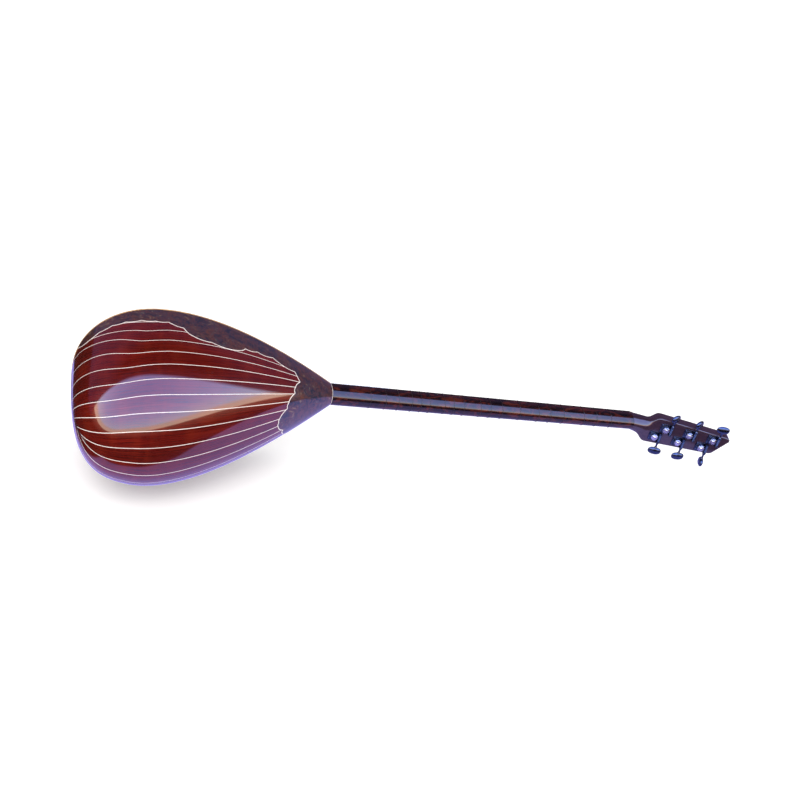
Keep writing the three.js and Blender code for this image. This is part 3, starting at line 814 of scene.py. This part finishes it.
def add_neck():
    rings = []
    for n in range(25):
        x = BOWL_LENGTH + GAP + (NUT_X - BOWL_LENGTH - 2 * GAP) * n / 24
        w, d = neck_size(x)
        rings.append(round_back(x, w, d))
    obj = loft("neck_shaft", rings)
    sharp_edges(obj, 40)
    finish_piece(obj, NECK_WOOD, "dark_neck", "neck")


SCALE = 886                 # open string length
FRET_CENTS = [
    90, 150, 204, 294, 354, 408, 498, 588, 648, 702, 792, 852, 906, 996, 1050, 1110, 1200, 1290,
    1404,
]
FRET_RADIUS = 0.27


def fret_loop(x):
    """The line that a fret cord follows round the neck and fingerboard."""
    w, d = neck_size(x)
    around = round_back(x, w + FRET_RADIUS, d + FRET_RADIUS, 36)
    front = -(GAP + BOARD + FRET_RADIUS * 0.8)
    corner = 0.6
    points = list(around)
    points.append(place(x, w + FRET_RADIUS, front + corner))
    for n in range(9):
        points.append(place(x, (w - corner) * (1 - n / 4), front))
    points.append(place(x, -w - FRET_RADIUS, front + corner))
    return points


def tube(name, points, radius, sides=8, closed=False, body="instrument", hint=(1, 0, 0)):
    """A round cord through points."""
    rings = []
    for i, point in enumerate(points):
        along = heading(points, i, closed)
        side = along.cross(Vector(hint)).normalized()
        up = side.cross(along).normalized()
        around = circle(1, sides)
        rings.append([point + (side * p + up * q) * (radius * MM) for p, q in around])
    return loft(name, rings, body, closed)


def add_frets():
    for n, cents in enumerate(FRET_CENTS):
        x = NUT_X - SCALE * (1 - 2 ** (-cents / 1200))
        for turn, word in ((-1, "a"), (1, "b")):
            around = fret_loop(x + turn * FRET_RADIUS)
            cord = tube(f"fret_{n + 1:02d}{word}", around, FRET_RADIUS, 6, True)
            finish_piece(cord, GUT, "bone")


def add_fingerboard():
    xs = [BOWL_LENGTH + GAP + (NUT_X - BOWL_LENGTH - 2 * GAP) * n / 12 for n in range(13)]
    rings = []
    for x in xs:
        w, _ = neck_size(x)
        rings.append([
            place(x, s, d) for s, d in (
                (-w, -GAP), (-w, -GAP - BOARD + 0.5), (-w + 0.5, -GAP - BOARD),
                (0, -GAP - BOARD), (w - 0.5, -GAP - BOARD), (w, -GAP - BOARD + 0.5), (w, -GAP),
            )
        ])
    obj = loft("fingerboard_ebony", rings)
    sharp_edges(obj, 20)
    finish_piece(obj, EBONY, "ebony", "fingerboard")


# -------------------- head

HEAD_X = Vector((math.cos(HEAD_TILT), -math.sin(HEAD_TILT), 0))
HEAD_Y = Vector((0, 0, 1))
HEAD_Z = Vector((-math.sin(HEAD_TILT), -math.cos(HEAD_TILT), 0))
HEAD_ORIGIN = place(NUT_X, 0, HEAD_DEPTH)


def on_head(t, s, z):
    """The head's own millimetres: t to the tip, s sideways, z out of its back."""
    return HEAD_ORIGIN + (HEAD_X * t + HEAD_Y * s + HEAD_Z * z) * MM


def bezier(points, steps=16):
    result = []
    for n in range(steps + 1):
        t = n / steps
        work = [Vector(p) for p in points]
        while len(work) > 1:
            work = [a.lerp(b, t) for a, b in zip(work, work[1:])]
        result.append(tuple(work[0]))
    return result


NECK_W = NECK_END[0]
LOWER_EDGE = [(0, -NECK_W), (9, -NECK_W)]
LOWER_EDGE += bezier([(9, -NECK_W), (16, -NECK_W), (18, -23.5), (27, -25)])
LOWER_EDGE += bezier([(144, -20), (149, -19.5), (151.5, -16.5)])
LOWER_EDGE += [(173, 12)]
UPPER_EDGE = [(0, NECK_W), (23, NECK_W)]
UPPER_EDGE += bezier([(23, NECK_W), (32, NECK_W), (34, 26), (43, 26.5)])
UPPER_EDGE += bezier([(164, 18.9), (172, 18), (173, 14.5)])


def edge_at(edge, t):
    return float(np.interp(t, [p[0] for p in edge], [p[1] for p in edge]))


def ease(value, start, end):
    t = min(max((value - start) / (end - start), 0), 1)
    return t * t * (3 - 2 * t)


# girth shares of the round section's points, one for each point of the box section
SHARES = [0.0, 0.12, 0.24, 0.36, 0.46, 0.5, 0.53, 0.56, 0.59, 0.65, 0.8, 1.0]
CORNER = 1.8                # rounding of the head's back edges


def box_half(w, thick):
    """Half of a round-cornered slab section, from the back's middle to the front edge."""
    radius = min(CORNER, w * 0.45)
    points = [((w - radius) * f, 0.0) for f in (0, 0.25, 0.5, 0.75, 0.92)]
    for n in range(5):
        a = math.pi / 2 * n / 4
        points.append((w - radius + radius * math.sin(a), -radius + radius * math.cos(a)))
    points.append((w, -thick * 0.5))
    points.append((w, -thick))
    return points


def round_half(w, d):
    share, s, back = half_girth(w, d)
    return [(float(np.interp(f, share, s)), float(np.interp(f, share, back)) - d)
            for f in SHARES]


def head_ring(t):
    """One section of the head, blending the neck's round back into the flat slab."""
    lower, upper = -edge_at(LOWER_EDGE, t), edge_at(UPPER_EDGE, t)
    centre = ease(t, 60, 140) * (upper - lower) / 2
    share = ease(t, 0, 26)
    tilt = HEAD_TILT * share
    thick = HEAD_DEPTH + (HEAD_THICK - HEAD_DEPTH) * share
    out = Vector((-math.sin(tilt), -math.cos(tilt), 0))
    base = HEAD_ORIGIN + HEAD_X * (t * MM)
    halves = []
    for side, width, begin, end in ((-1, lower + centre, -6, 24), (1, upper - centre, 10, 44)):
        flat = box_half(width, thick)
        rounded = round_half(width, thick)
        flatness = ease(t, begin, end)
        half = []
        for (s0, z0), (s1, z1) in zip(rounded, flat):
            s = s0 + (s1 - s0) * flatness
            z = z0 + (z1 - z0) * flatness
            half.append(base + (HEAD_Y * (centre + side * s) + out * z) * MM)
        halves.append(half)
    return list(reversed(halves[0])) + halves[1][1:]


def add_head():
    ts = [0, 2, 4, 7, 10, 13, 16, 19, 22, 25, 28, 31, 34, 37, 40, 44, 50, 60, 75, 95, 115, 130]
    ts += [138, 144, 147, 149, 151, 155, 160, 164, 167, 169, 170.5, 171.5, 172]
    obj = loft("head_slab", [head_ring(t) for t in ts])
    sharp_edges(obj, 40)
    finish_piece(obj, LACQUER, "head_lacquer", "head")


def add_nut():
    outline = [(0.1, GAP), (5, GAP), (5, 2.8), (3.4, 4.1), (1.9, 5.0), (1.2, 5.2), (0.1, 5.1)]
    rings = []
    for s in (-13.9, -13.6, -6, 0, 6, 13.6, 13.9):
        shrink = 0.3 if abs(s) > 13.7 else 0
        rings.append([
            place(NUT_X + x, s, -(h - shrink if h > 1 else h)) for x, h in outline
        ])
    obj = loft("nut_bone", rings)
    sharp_edges(obj, 30)
    finish_piece(obj, BONE, "bone", "nut")


# -------------------- tuning machines

ROW = 9.3                   # from the head's centre line to a row of posts
WORM_X = 9.15               # a worm's shaft, on from its post towards the tip
WORM_Z = 6.5                # and above the head's back
BUTTON_OUT = 25.6           # from a post to the middle of its button
TEETH = 14
TURNS = [0, 12, 85, 45, 50, 5]      # how far each button is turned at rest, in degrees


def tuners():
    """(number, side, t, rest turn in radians) of each machine."""
    for n in range(6):
        side = 1 if n >= 3 else -1
        t = 41 + (n % 3) * 43 + (15 if side > 0 else 0)
        yield n + 1, side, t, math.radians(TURNS[n])


class Spot:
    """A machine's own frame on the head: x to the tip, y outwards to its button, z up."""

    def __init__(self, side, t):
        self.side = side
        self.t = t

    def point(self, x, y, z):
        return on_head(self.t + x, self.side * (ROW + y), z)


def bar_rings(spot, axis, centre, sizes, sides=24):
    """Rings about a machine axis; sizes are (distance along it, radius)."""
    rings = []
    for reach, radius in sizes:
        ring = []
        for p, q in circle(radius, sides):
            if axis == "z":
                ring.append(spot.point(centre[0] + p, centre[1] + q, reach))
            else:
                ring.append(spot.point(centre[0] + p, reach, centre[1] + q))
        rings.append(ring)
    return rings


def rounded_outline(x0, x1, y0, y1, radius, steps=5):
    points = []
    for cx, cy, start in (
        (x1 - radius, y1 - radius, 0), (x0 + radius, y1 - radius, 90),
        (x0 + radius, y0 + radius, 180), (x1 - radius, y0 + radius, 270),
    ):
        for n in range(steps + 1):
            a = math.radians(start + 90 * n / steps)
            points.append((cx + radius * math.cos(a), cy + radius * math.sin(a)))
    return points


def add_bracket(spot, number):
    outline = rounded_outline(-9.5, 13, -8.9, 9, 2.2)
    base = [[spot.point(x, y, z) for x, y in outline] for z in (GAP, 1.5)]
    pieces = [loft(f"bracket_{number}", base)]
    for y in (-8.9, 7.3):
        ear = rounded_outline(6.6, 12.2, 0.8, 9.6, 2.6)
        rings = [[spot.point(x, y + dy, z) for x, z in ear] for dy in (0, 1.6)]
        pieces.append(loft(f"ear_{number}", rings))
    for x, y in ((-7, 6.3), (-7, -6.3), (10.6, 0)):
        dome = [(1.5, 1.5), (2.0, 1.45), (2.35, 1.0), (2.5, 0.35)]
        pieces.append(loft(f"screw_{number}", bar_rings(spot, "z", (x, y), dome, 14)))
    obj = join_pieces(f"machine_plate_{number}", pieces)
    bevel(obj, 0.22)
    finish_piece(obj, CHROME, "smoked_chrome", f"tuner_plate_{number}")


def join_pieces(name, pieces):
    """One object from several, as separate shells."""
    bm = bmesh.new()
    for piece in pieces:
        bm.from_mesh(piece.data)
        bpy.data.objects.remove(piece)
    mesh = bpy.data.meshes.new(name)
    bm.to_mesh(mesh)
    bm.free()
    obj = put_in_scene(name, mesh)
    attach(obj, "instrument")
    return obj


def gear_rings(spot):
    """The toothed disc with bevelled faces."""
    rings = []
    for z, inset in ((4.5, 0.5), (4.9, 0.05), (8.1, 0.05), (8.5, 0.5)):
        ring = []
        for k in range(TEETH):
            for f, r in ((-0.34, 5.0), (-0.17, 6.0), (0.0, 6.05), (0.17, 6.0), (0.34, 5.0)):
                a = 2 * math.pi * (k + f) / TEETH
                r2 = r - inset
                ring.append(spot.point(r2 * math.cos(a), spot.side * r2 * math.sin(a), z))
        rings.append(ring)
    return rings


def add_gear(spot, number):
    body = f"post_{number}"
    pieces = [loft(f"gear_{number}", gear_rings(spot))]
    boss = [(8.3, 3.3), (8.8, 3.3), (8.95, 3.1), (8.95, 2.3), (9.2, 2.3), (9.42, 2.0), (9.5, 1.4)]
    pieces.append(loft(f"boss_{number}", bar_rings(spot, "z", (0, 0), boss)))
    post = [
        (5, 2.6), (-20, 2.6), (-22.2, 2.98), (-23.4, 2.98), (-24.2, 2.3), (-26, 2.0),
        (-28.5, 2.1), (-30.5, 2.5), (-32.5, 2.8), (-34.2, 2.8), (-34.8, 2.4), (-35, 1.6),
    ]
    pieces.append(loft(f"post_{number}", bar_rings(spot, "z", (0, 0), post)))
    obj = join_pieces(f"machine_gear_{number}", pieces)
    sharp_edges(obj, 35)
    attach(obj, body)
    finish_piece(obj, NICKEL, "nickel_gear", f"tuner_gear_post_{number}")
    # the dark bar is painted shade where the screw's driver slot would be, not a cut groove
    slot = slot_shade_bar(spot, number)
    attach(slot, body)
    finish_piece(slot, CHROME, "smoked_chrome")


def slot_shade_bar(spot, number):
    """A dark bar laid over the gear screw's top: painted shade standing in for its driver slot.
    """
    outline = rounded_outline(-1.35, 1.35, -0.28, 0.28, 0.2, 2)
    turn = 0.6 + 0.9 * number
    c, s = math.cos(turn), math.sin(turn)
    rings = []
    for z in (9.3, 9.51):
        rings.append([spot.point(x * c - y * s, x * s + y * c, z) for x, y in outline])
    return loft(f"screw_slot_shade_{number}", rings)


def worm_rings(spot):
    """A worm barrel with a helical thread."""
    rings = []
    steps = 72
    for n in range(steps + 1):
        y = -7.0 + 14.0 * n / steps
        ring = []
        for k in range(20):
            a = 2 * math.pi * k / 20
            thread = max(math.cos(a - 2 * math.pi * y / 2.8), -0.35)
            edge = min((7.0 - abs(y)) / 0.8, 1)
            r = 2.05 + 0.7 * thread * edge
            ring.append(spot.point(WORM_X + r * math.cos(a), y, WORM_Z + r * math.sin(a)))
        rings.append(ring)
    return rings


BUTTON_LONG = 11.9          # half sizes of a button's broad outline
BUTTON_WIDE = 7.5
BUTTON_THICK = 4.1


def signed_power(value, power):
    return math.copysign(abs(value) ** power, value)


def button_rings(spot, turn):
    """A flattened, slightly kidney-shaped button with its broad faces across the shaft."""
    rings = []
    c, s = math.cos(turn), math.sin(turn)
    count = 22
    for n in range(count + 1):
        v = -1 + 2 * n / count
        size = max(math.cos(math.asin(v)), 0.02) ** 0.78
        ring = []
        for p, q in circle(1, 28):
            x = BUTTON_LONG * size * signed_power(p, 0.86)
            y = BUTTON_WIDE * size * signed_power(q, 0.8)
            if y < 0:
                y *= 1 - 0.16 * (abs(x) / BUTTON_LONG) ** 2
                y += 0.9 * math.exp(-((abs(x) - 4.4) / 2.4) ** 2) * (-y / BUTTON_WIDE) * 0.8
            z = BUTTON_THICK * signed_power(v, 1.15)
            px, pz = x * c + z * s, -x * s + z * c
            ring.append(spot.point(WORM_X + px, BUTTON_OUT + y, WORM_Z + pz))
        rings.append(ring)
    return rings


def add_worm(spot, number, turn):
    pieces = [loft(f"worm_{number}", worm_rings(spot))]
    shaft = [(-9.7, 1.0), (-9.6, 1.4), (-8.9, 1.48), (8.95, 1.48), (9.2, 1.48)]
    pieces.append(loft(f"shaft_{number}", bar_rings(spot, "y", (WORM_X, WORM_Z), shaft)))
    stem = [
        (9.2, 1.7), (9.35, 2.6), (10.0, 2.75), (10.6, 2.4), (11.4, 1.75), (14.5, 1.6),
        (16.8, 1.75), (18.2, 2.3), (19.6, 3.0), (21.5, 2.9),
    ]
    pieces.append(loft(f"stem_{number}", bar_rings(spot, "y", (WORM_X, WORM_Z), stem)))
    pieces.append(loft(f"button_{number}", button_rings(spot, turn)))
    obj = join_pieces(f"machine_button_{number}", pieces)
    sharp_edges(obj, 50)
    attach(obj, f"button_{number}")
    finish_piece(obj, CHROME, "smoked_chrome", f"tuner_worm_button_{number}")


def add_ferrule(spot, number):
    """The collar round the post on the head's front."""
    front = -HEAD_THICK
    sizes = [(front + 0.4, 5.0), (front - 0.4, 5.0), (front - 0.9, 4.6), (front - 1.0, 3.5),
             (front + 0.2, 3.35)]
    rings = bar_rings(spot, "z", (0, 0), sizes)
    obj = loft(f"ferrule_{number}", rings, closed=True)
    sharp_edges(obj, 40)
    finish_piece(obj, NICKEL, "nickel_gear")


def add_machines():
    for number, side, t, turn in tuners():
        spot = Spot(side, t)
        add_bracket(spot, number)
        add_gear(spot, number)
        add_worm(spot, number, turn)
        add_ferrule(spot, number)


# -------------------- front of the instrument

def board_stations(count=44):
    return [BOWL_LENGTH * (n / count) ** 2 for n in range(count + 1)]


HOLE_X = 355
HOLE_R = 6


def add_soundboard():
    """The plate, with its sound hole, as a strip grid cut by a boolean tool."""
    rings = []
    for x in board_stations()[1:]:
        w = half_width(x) - 0.05
        across = [-w, -w * 0.97, -w * 0.5, 0, w * 0.5, w * 0.97, w]
        rings.append(
            [place(x, s, -GAP) for s in across]
            + [place(x, s, -GAP - BOARD) for s in reversed(across)])
    obj = loft("soundboard_spruce", rings)
    hole = circle(HOLE_R, 40)
    drill = loft("drill", [[place(HOLE_X + p, q, d) for p, q in hole] for d in (20, -20)])
    modifier = obj.modifiers.new("hole", "BOOLEAN")
    modifier.operation = "DIFFERENCE"
    modifier.object = drill
    apply_modifiers(obj)
    bpy.data.objects.remove(drill)
    bevel(obj, 0.3)
    finish_piece(obj, SPRUCE, "spruce_top", "soundboard")


def add_board_lines():
    """Purfling let into the edge of the soundboard and round the hole."""
    front = -GAP - BOARD
    side = [(x, half_width(x) - 4.5) for x in board_stations(60) if 3 < x < 406]
    run = [place(x, w, front) for x, w in side]
    run += [place(x, -w, front) for x, w in reversed(side)]
    line = ribbon("board_line", run, [Vector((0, 1, 0))] * len(run), 1.2, 0.5, True)
    finish_piece(line, EBONY, "ebony")
    ring = [place(HOLE_X + p, q, front) for p, q in circle(9, 48)]
    line = ribbon("hole_ring", ring, [Vector((0, 1, 0))] * len(ring), 1.6, 0.5, True)
    finish_piece(line, EBONY, "ebony")


BRIDGE_X = 84
BRIDGE_TOP = 12.5


def add_bridge():
    """A footed bridge with an arch under it and an ebony crown."""
    foot = BOARD + 2 * GAP
    lower = [(-37, foot), (-20, foot)]
    lower += bezier([(-20, foot), (0, foot + 6), (20, foot)], 12)[1:-1]
    lower += [(20, foot), (37, foot)]
    upper = bezier([(37, foot), (30, BRIDGE_TOP - 1), (22, BRIDGE_TOP - 0.9)], 8)[1:]
    upper += [(0, BRIDGE_TOP - 0.9)]
    upper += [(-s, h) for s, h in reversed(upper[:-1])]
    outline = lower + upper
    rings = []
    for x in (-2, 2):
        rings.append([place(BRIDGE_X + x * (1 - 0.25 * (h - foot) / 9), s, -h)
                      for s, h in outline])
    obj = loft("bridge_maple", rings)
    bevel(obj, 0.25)
    finish_piece(obj, MAPLE, "maple", "bridge")
    rings = []
    for s in (-22, -21.6, 0, 21.6, 22):
        rings.append([place(BRIDGE_X + x, s, -h) for x, h in (
            (-1.4, BRIDGE_TOP - 0.9), (-1.3, BRIDGE_TOP - 0.2), (-0.4, BRIDGE_TOP),
            (0.4, BRIDGE_TOP), (1.3, BRIDGE_TOP - 0.2), (1.4, BRIDGE_TOP - 0.9),
        )])
    crown = loft("bridge_crown", rings)
    sharp_edges(crown, 40)
    finish_piece(crown, EBONY, "ebony")


def add_holder():
    """The string holder: a chamfered ebony block with six nickel string eyelets."""
    low, high = BOARD + 2 * GAP, 8.5
    section = [(5, low), (5, high - 2.5), (7, high), (13, high), (15, high - 1.2), (15, low)]
    rings = []
    for s, shrink in ((-17, 0.6), (-16.4, 0), (0, 0), (16.4, 0), (17, 0.6)):
        rings.append([place(x, s, -(h - (shrink if h > low else 0))) for x, h in section])
    obj = loft("holder_ebony", rings)
    bevel(obj, 0.3)
    finish_piece(obj, EBONY, "ebony", "string_holder")
    for n, s in enumerate((16.2, 11.8, 2.2, -2.2, -11.8, -16.2)):
        ring = [place(15.15, s + p, -6.5 + q) for p, q in circle(0.85, 16)]
        bead = tube(f"string_eyelet_{n + 1}", ring, 0.25, 6, True)
        finish_piece(bead, NICKEL, "nickel_gear")


def add_windings():
    """The turns of string round each post."""
    for number, side, t, _ in tuners():
        spot = Spot(side, t)
        points = []
        for n in range(3 * 20 + 1):
            a = 2 * math.pi * n / 20
            z = -HEAD_THICK - 4.6 - 0.62 * n / 20
            r = 2.45
            points.append(spot.point(r * math.cos(a), r * math.sin(a), z))
        coil = tube(f"winding_{number}", points, 0.26, 6, False, f"post_{number}",
                    tuple(HEAD_Z))
        finish_piece(coil, STEEL, "string_steel")


def dress_kept_nodes():
    """CAD nodes that stay as they are get their finishes."""
    for name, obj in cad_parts.items():
        if name.startswith("string_") and name != "string_holder":
            material, slot = STEEL, "string_steel"
        elif name in ("tail_block", "neck_block") or name.startswith("soundboard_brace"):
            material, slot = INNER, "inner_wood"
        else:
            continue
        obj.data.materials.clear()
        obj.data.materials.append(material)
    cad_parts["string_6"].data.materials[0] = BRONZE


# -------------------- room, light and camera

def add_floor():
    mesh = bpy.data.meshes.new("floor")
    bm = bmesh.new()
    bmesh.ops.create_grid(bm, x_segments=1, y_segments=1, size=14)
    bm.to_mesh(mesh)
    bm.free()
    floor = put_in_scene("floor", mesh)
    floor.location = (0, 0, -0.0004)
    floor.data.materials.append(floor_material())


TABLE_FRONT = -0.29         # the lacquer mirrors a bright table up to here, then a dim room
TABLE_END = -0.175


def glossy_switch(tree, out, plain, mirrored):
    """Shows one shader, and another where the gloss mirrors it."""
    path = add(tree, "ShaderNodeLightPath")
    blend = add(tree, "ShaderNodeMixShader", {
        0: path.outputs["Is Glossy Ray"], 1: plain.outputs[0], 2: mirrored.outputs[0],
    })
    tree.links.new(blend.outputs[0], out.inputs[0])


def floor_material():
    """A pale floor; what the gloss mirrors of it is a bright cloth with a dim room before it."""
    material, tree, shader = new_material("pale_floor")
    mottle = noise(tree, object_coords(tree), 3, 2)
    base = ramp(tree, mottle, (0.3, (0.9, 0.9, 0.905)), (0.7, (0.92, 0.92, 0.925)))
    tree.links.new(base, shader.inputs["Base Color"])
    shader.inputs["Roughness"].default_value = 0.9
    shader.inputs["Specular IOR Level"].default_value = 0.0
    shader.inputs["Emission Color"].default_value = (1, 1, 1, 1)
    shader.inputs["Emission Strength"].default_value = 0.25
    coords = add(tree, "ShaderNodeTexCoord")
    parts = add(tree, "ShaderNodeSeparateXYZ", {0: coords.outputs["Object"]})
    forward = rise(tree, parts.outputs[1], TABLE_FRONT - 0.012, TABLE_FRONT)
    inward = rise(tree, parts.outputs[0], TABLE_END - 0.02, TABLE_END)
    over = add(tree, "ShaderNodeMath", {0: forward, 1: inward}, operation="MULTIPLY")
    mirrored = ramp(tree, over.outputs[0], (0, (0.03, 0.012, 0.01)), (1, (0.56, 0.5, 1.3)))
    glow = add(tree, "ShaderNodeEmission", {"Color": mirrored, "Strength": 0.9})
    out = next(node for node in tree.nodes if node.type == "OUTPUT_MATERIAL")
    glossy_switch(tree, out, shader, glow)
    return material


def add_world():
    """Soft even light, with a lavender sky band for the gloss to pick up."""
    world = bpy.data.worlds.new("studio")
    bpy.context.scene.world = world
    world.use_nodes = True
    tree = world.node_tree
    tree.nodes.clear()
    out = tree.nodes.new("ShaderNodeOutputWorld")
    coords = add(tree, "ShaderNodeTexCoord")
    parts = add(tree, "ShaderNodeSeparateXYZ", {0: coords.outputs["Generated"]})
    window = ramp(
        tree, parts.outputs[2], (0.0, (0.06, 0.02, 0.015)), (0.17, (0.2, 0.07, 0.045)),
        (0.2, (0.95, 0.68, 0.5)), (0.29, (0.85, 0.66, 0.56)), (0.36, (0.6, 0.72, 1.0)),
        (0.6, (0.42, 0.54, 1.0)), (1.0, (0.3, 0.36, 0.8)),
    )
    behind = ramp(
        tree, parts.outputs[2], (0.0, (0.024, 0.015, 0.034)), (0.55, (0.022, 0.013, 0.03)),
        (0.75, (0.004, 0.001, 0.001)),
    )
    lean = add(tree, "ShaderNodeMath", {0: parts.outputs[0], 1: 0.17}, operation="MULTIPLY")
    reach = add(tree, "ShaderNodeMath", {0: lean.outputs[0], 1: parts.outputs[1]})
    room = mix(tree, rise(tree, reach.outputs[0], 0.17, 0.23), window, behind)
    glossy = add(tree, "ShaderNodeBackground", {"Color": room, "Strength": 4.8})
    soft = add(tree, "ShaderNodeBackground", {"Color": (1, 1, 1, 1), "Strength": 1.0})
    glossy_switch(tree, out, soft, glossy)


def add_key_light():
    """A broad soft light from above and behind the bowl, unseen in the gloss."""
    data = bpy.data.lights.new("key", "AREA")
    data.shape = "RECTANGLE"
    data.size, data.size_y = 1.6, 1.2
    data.energy = 30
    data.color = (1, 0.97, 0.94)
    light = put_in_scene("key", data)
    above = Vector((-0.6, -1.6, 1.9))
    light.location = above
    light.visible_glossy = False
    light.rotation_mode = "QUATERNION"
    light.rotation_quaternion = (Vector((0.2, 0, 0.1)) - above).to_track_quat("-Z", "Y")


def add_camera():
    """Behind the bowl and above it, a little towards the tail, rolled to one side."""
    azimuth = math.radians(-19.3)
    elevation = math.radians(29.4)
    roll = math.radians(14.4)
    reach = 1.7196
    aim = Vector((0.32, -0.06, 0.119))
    back = Vector((
        math.sin(azimuth) * math.cos(elevation), -math.cos(azimuth) * math.cos(elevation),
        math.sin(elevation),
    ))
    right = Vector((math.cos(azimuth), math.sin(azimuth), 0))
    up = back.cross(right)
    x_axis = right * math.cos(roll) + up * math.sin(roll)
    y_axis = up * math.cos(roll) - right * math.sin(roll)
    data = bpy.data.cameras.new("camera")
    data.lens = 47.96
    data.sensor_width = 36
    data.shift_x = 0.0516
    data.shift_y = 0.0171
    camera = put_in_scene("camera", data)
    turn = Matrix((x_axis, y_axis, back)).transposed().to_4x4()
    camera.matrix_world = Matrix.Translation(aim + back * reach) @ turn
    bpy.context.scene.camera = camera


add_staves()
add_seam_lines()
add_rim_bands()
add_neck_cap()
add_tail_tongue()
add_joint_ring()
add_neck()
add_frets()
add_fingerboard()
add_head()
add_nut()
add_machines()
add_soundboard()
add_board_lines()
add_bridge()
add_holder()
add_windings()
dress_kept_nodes()
add_floor()
add_world()
add_key_light()
add_camera()
bpy.context.scene.view_settings.view_transform = "Standard"
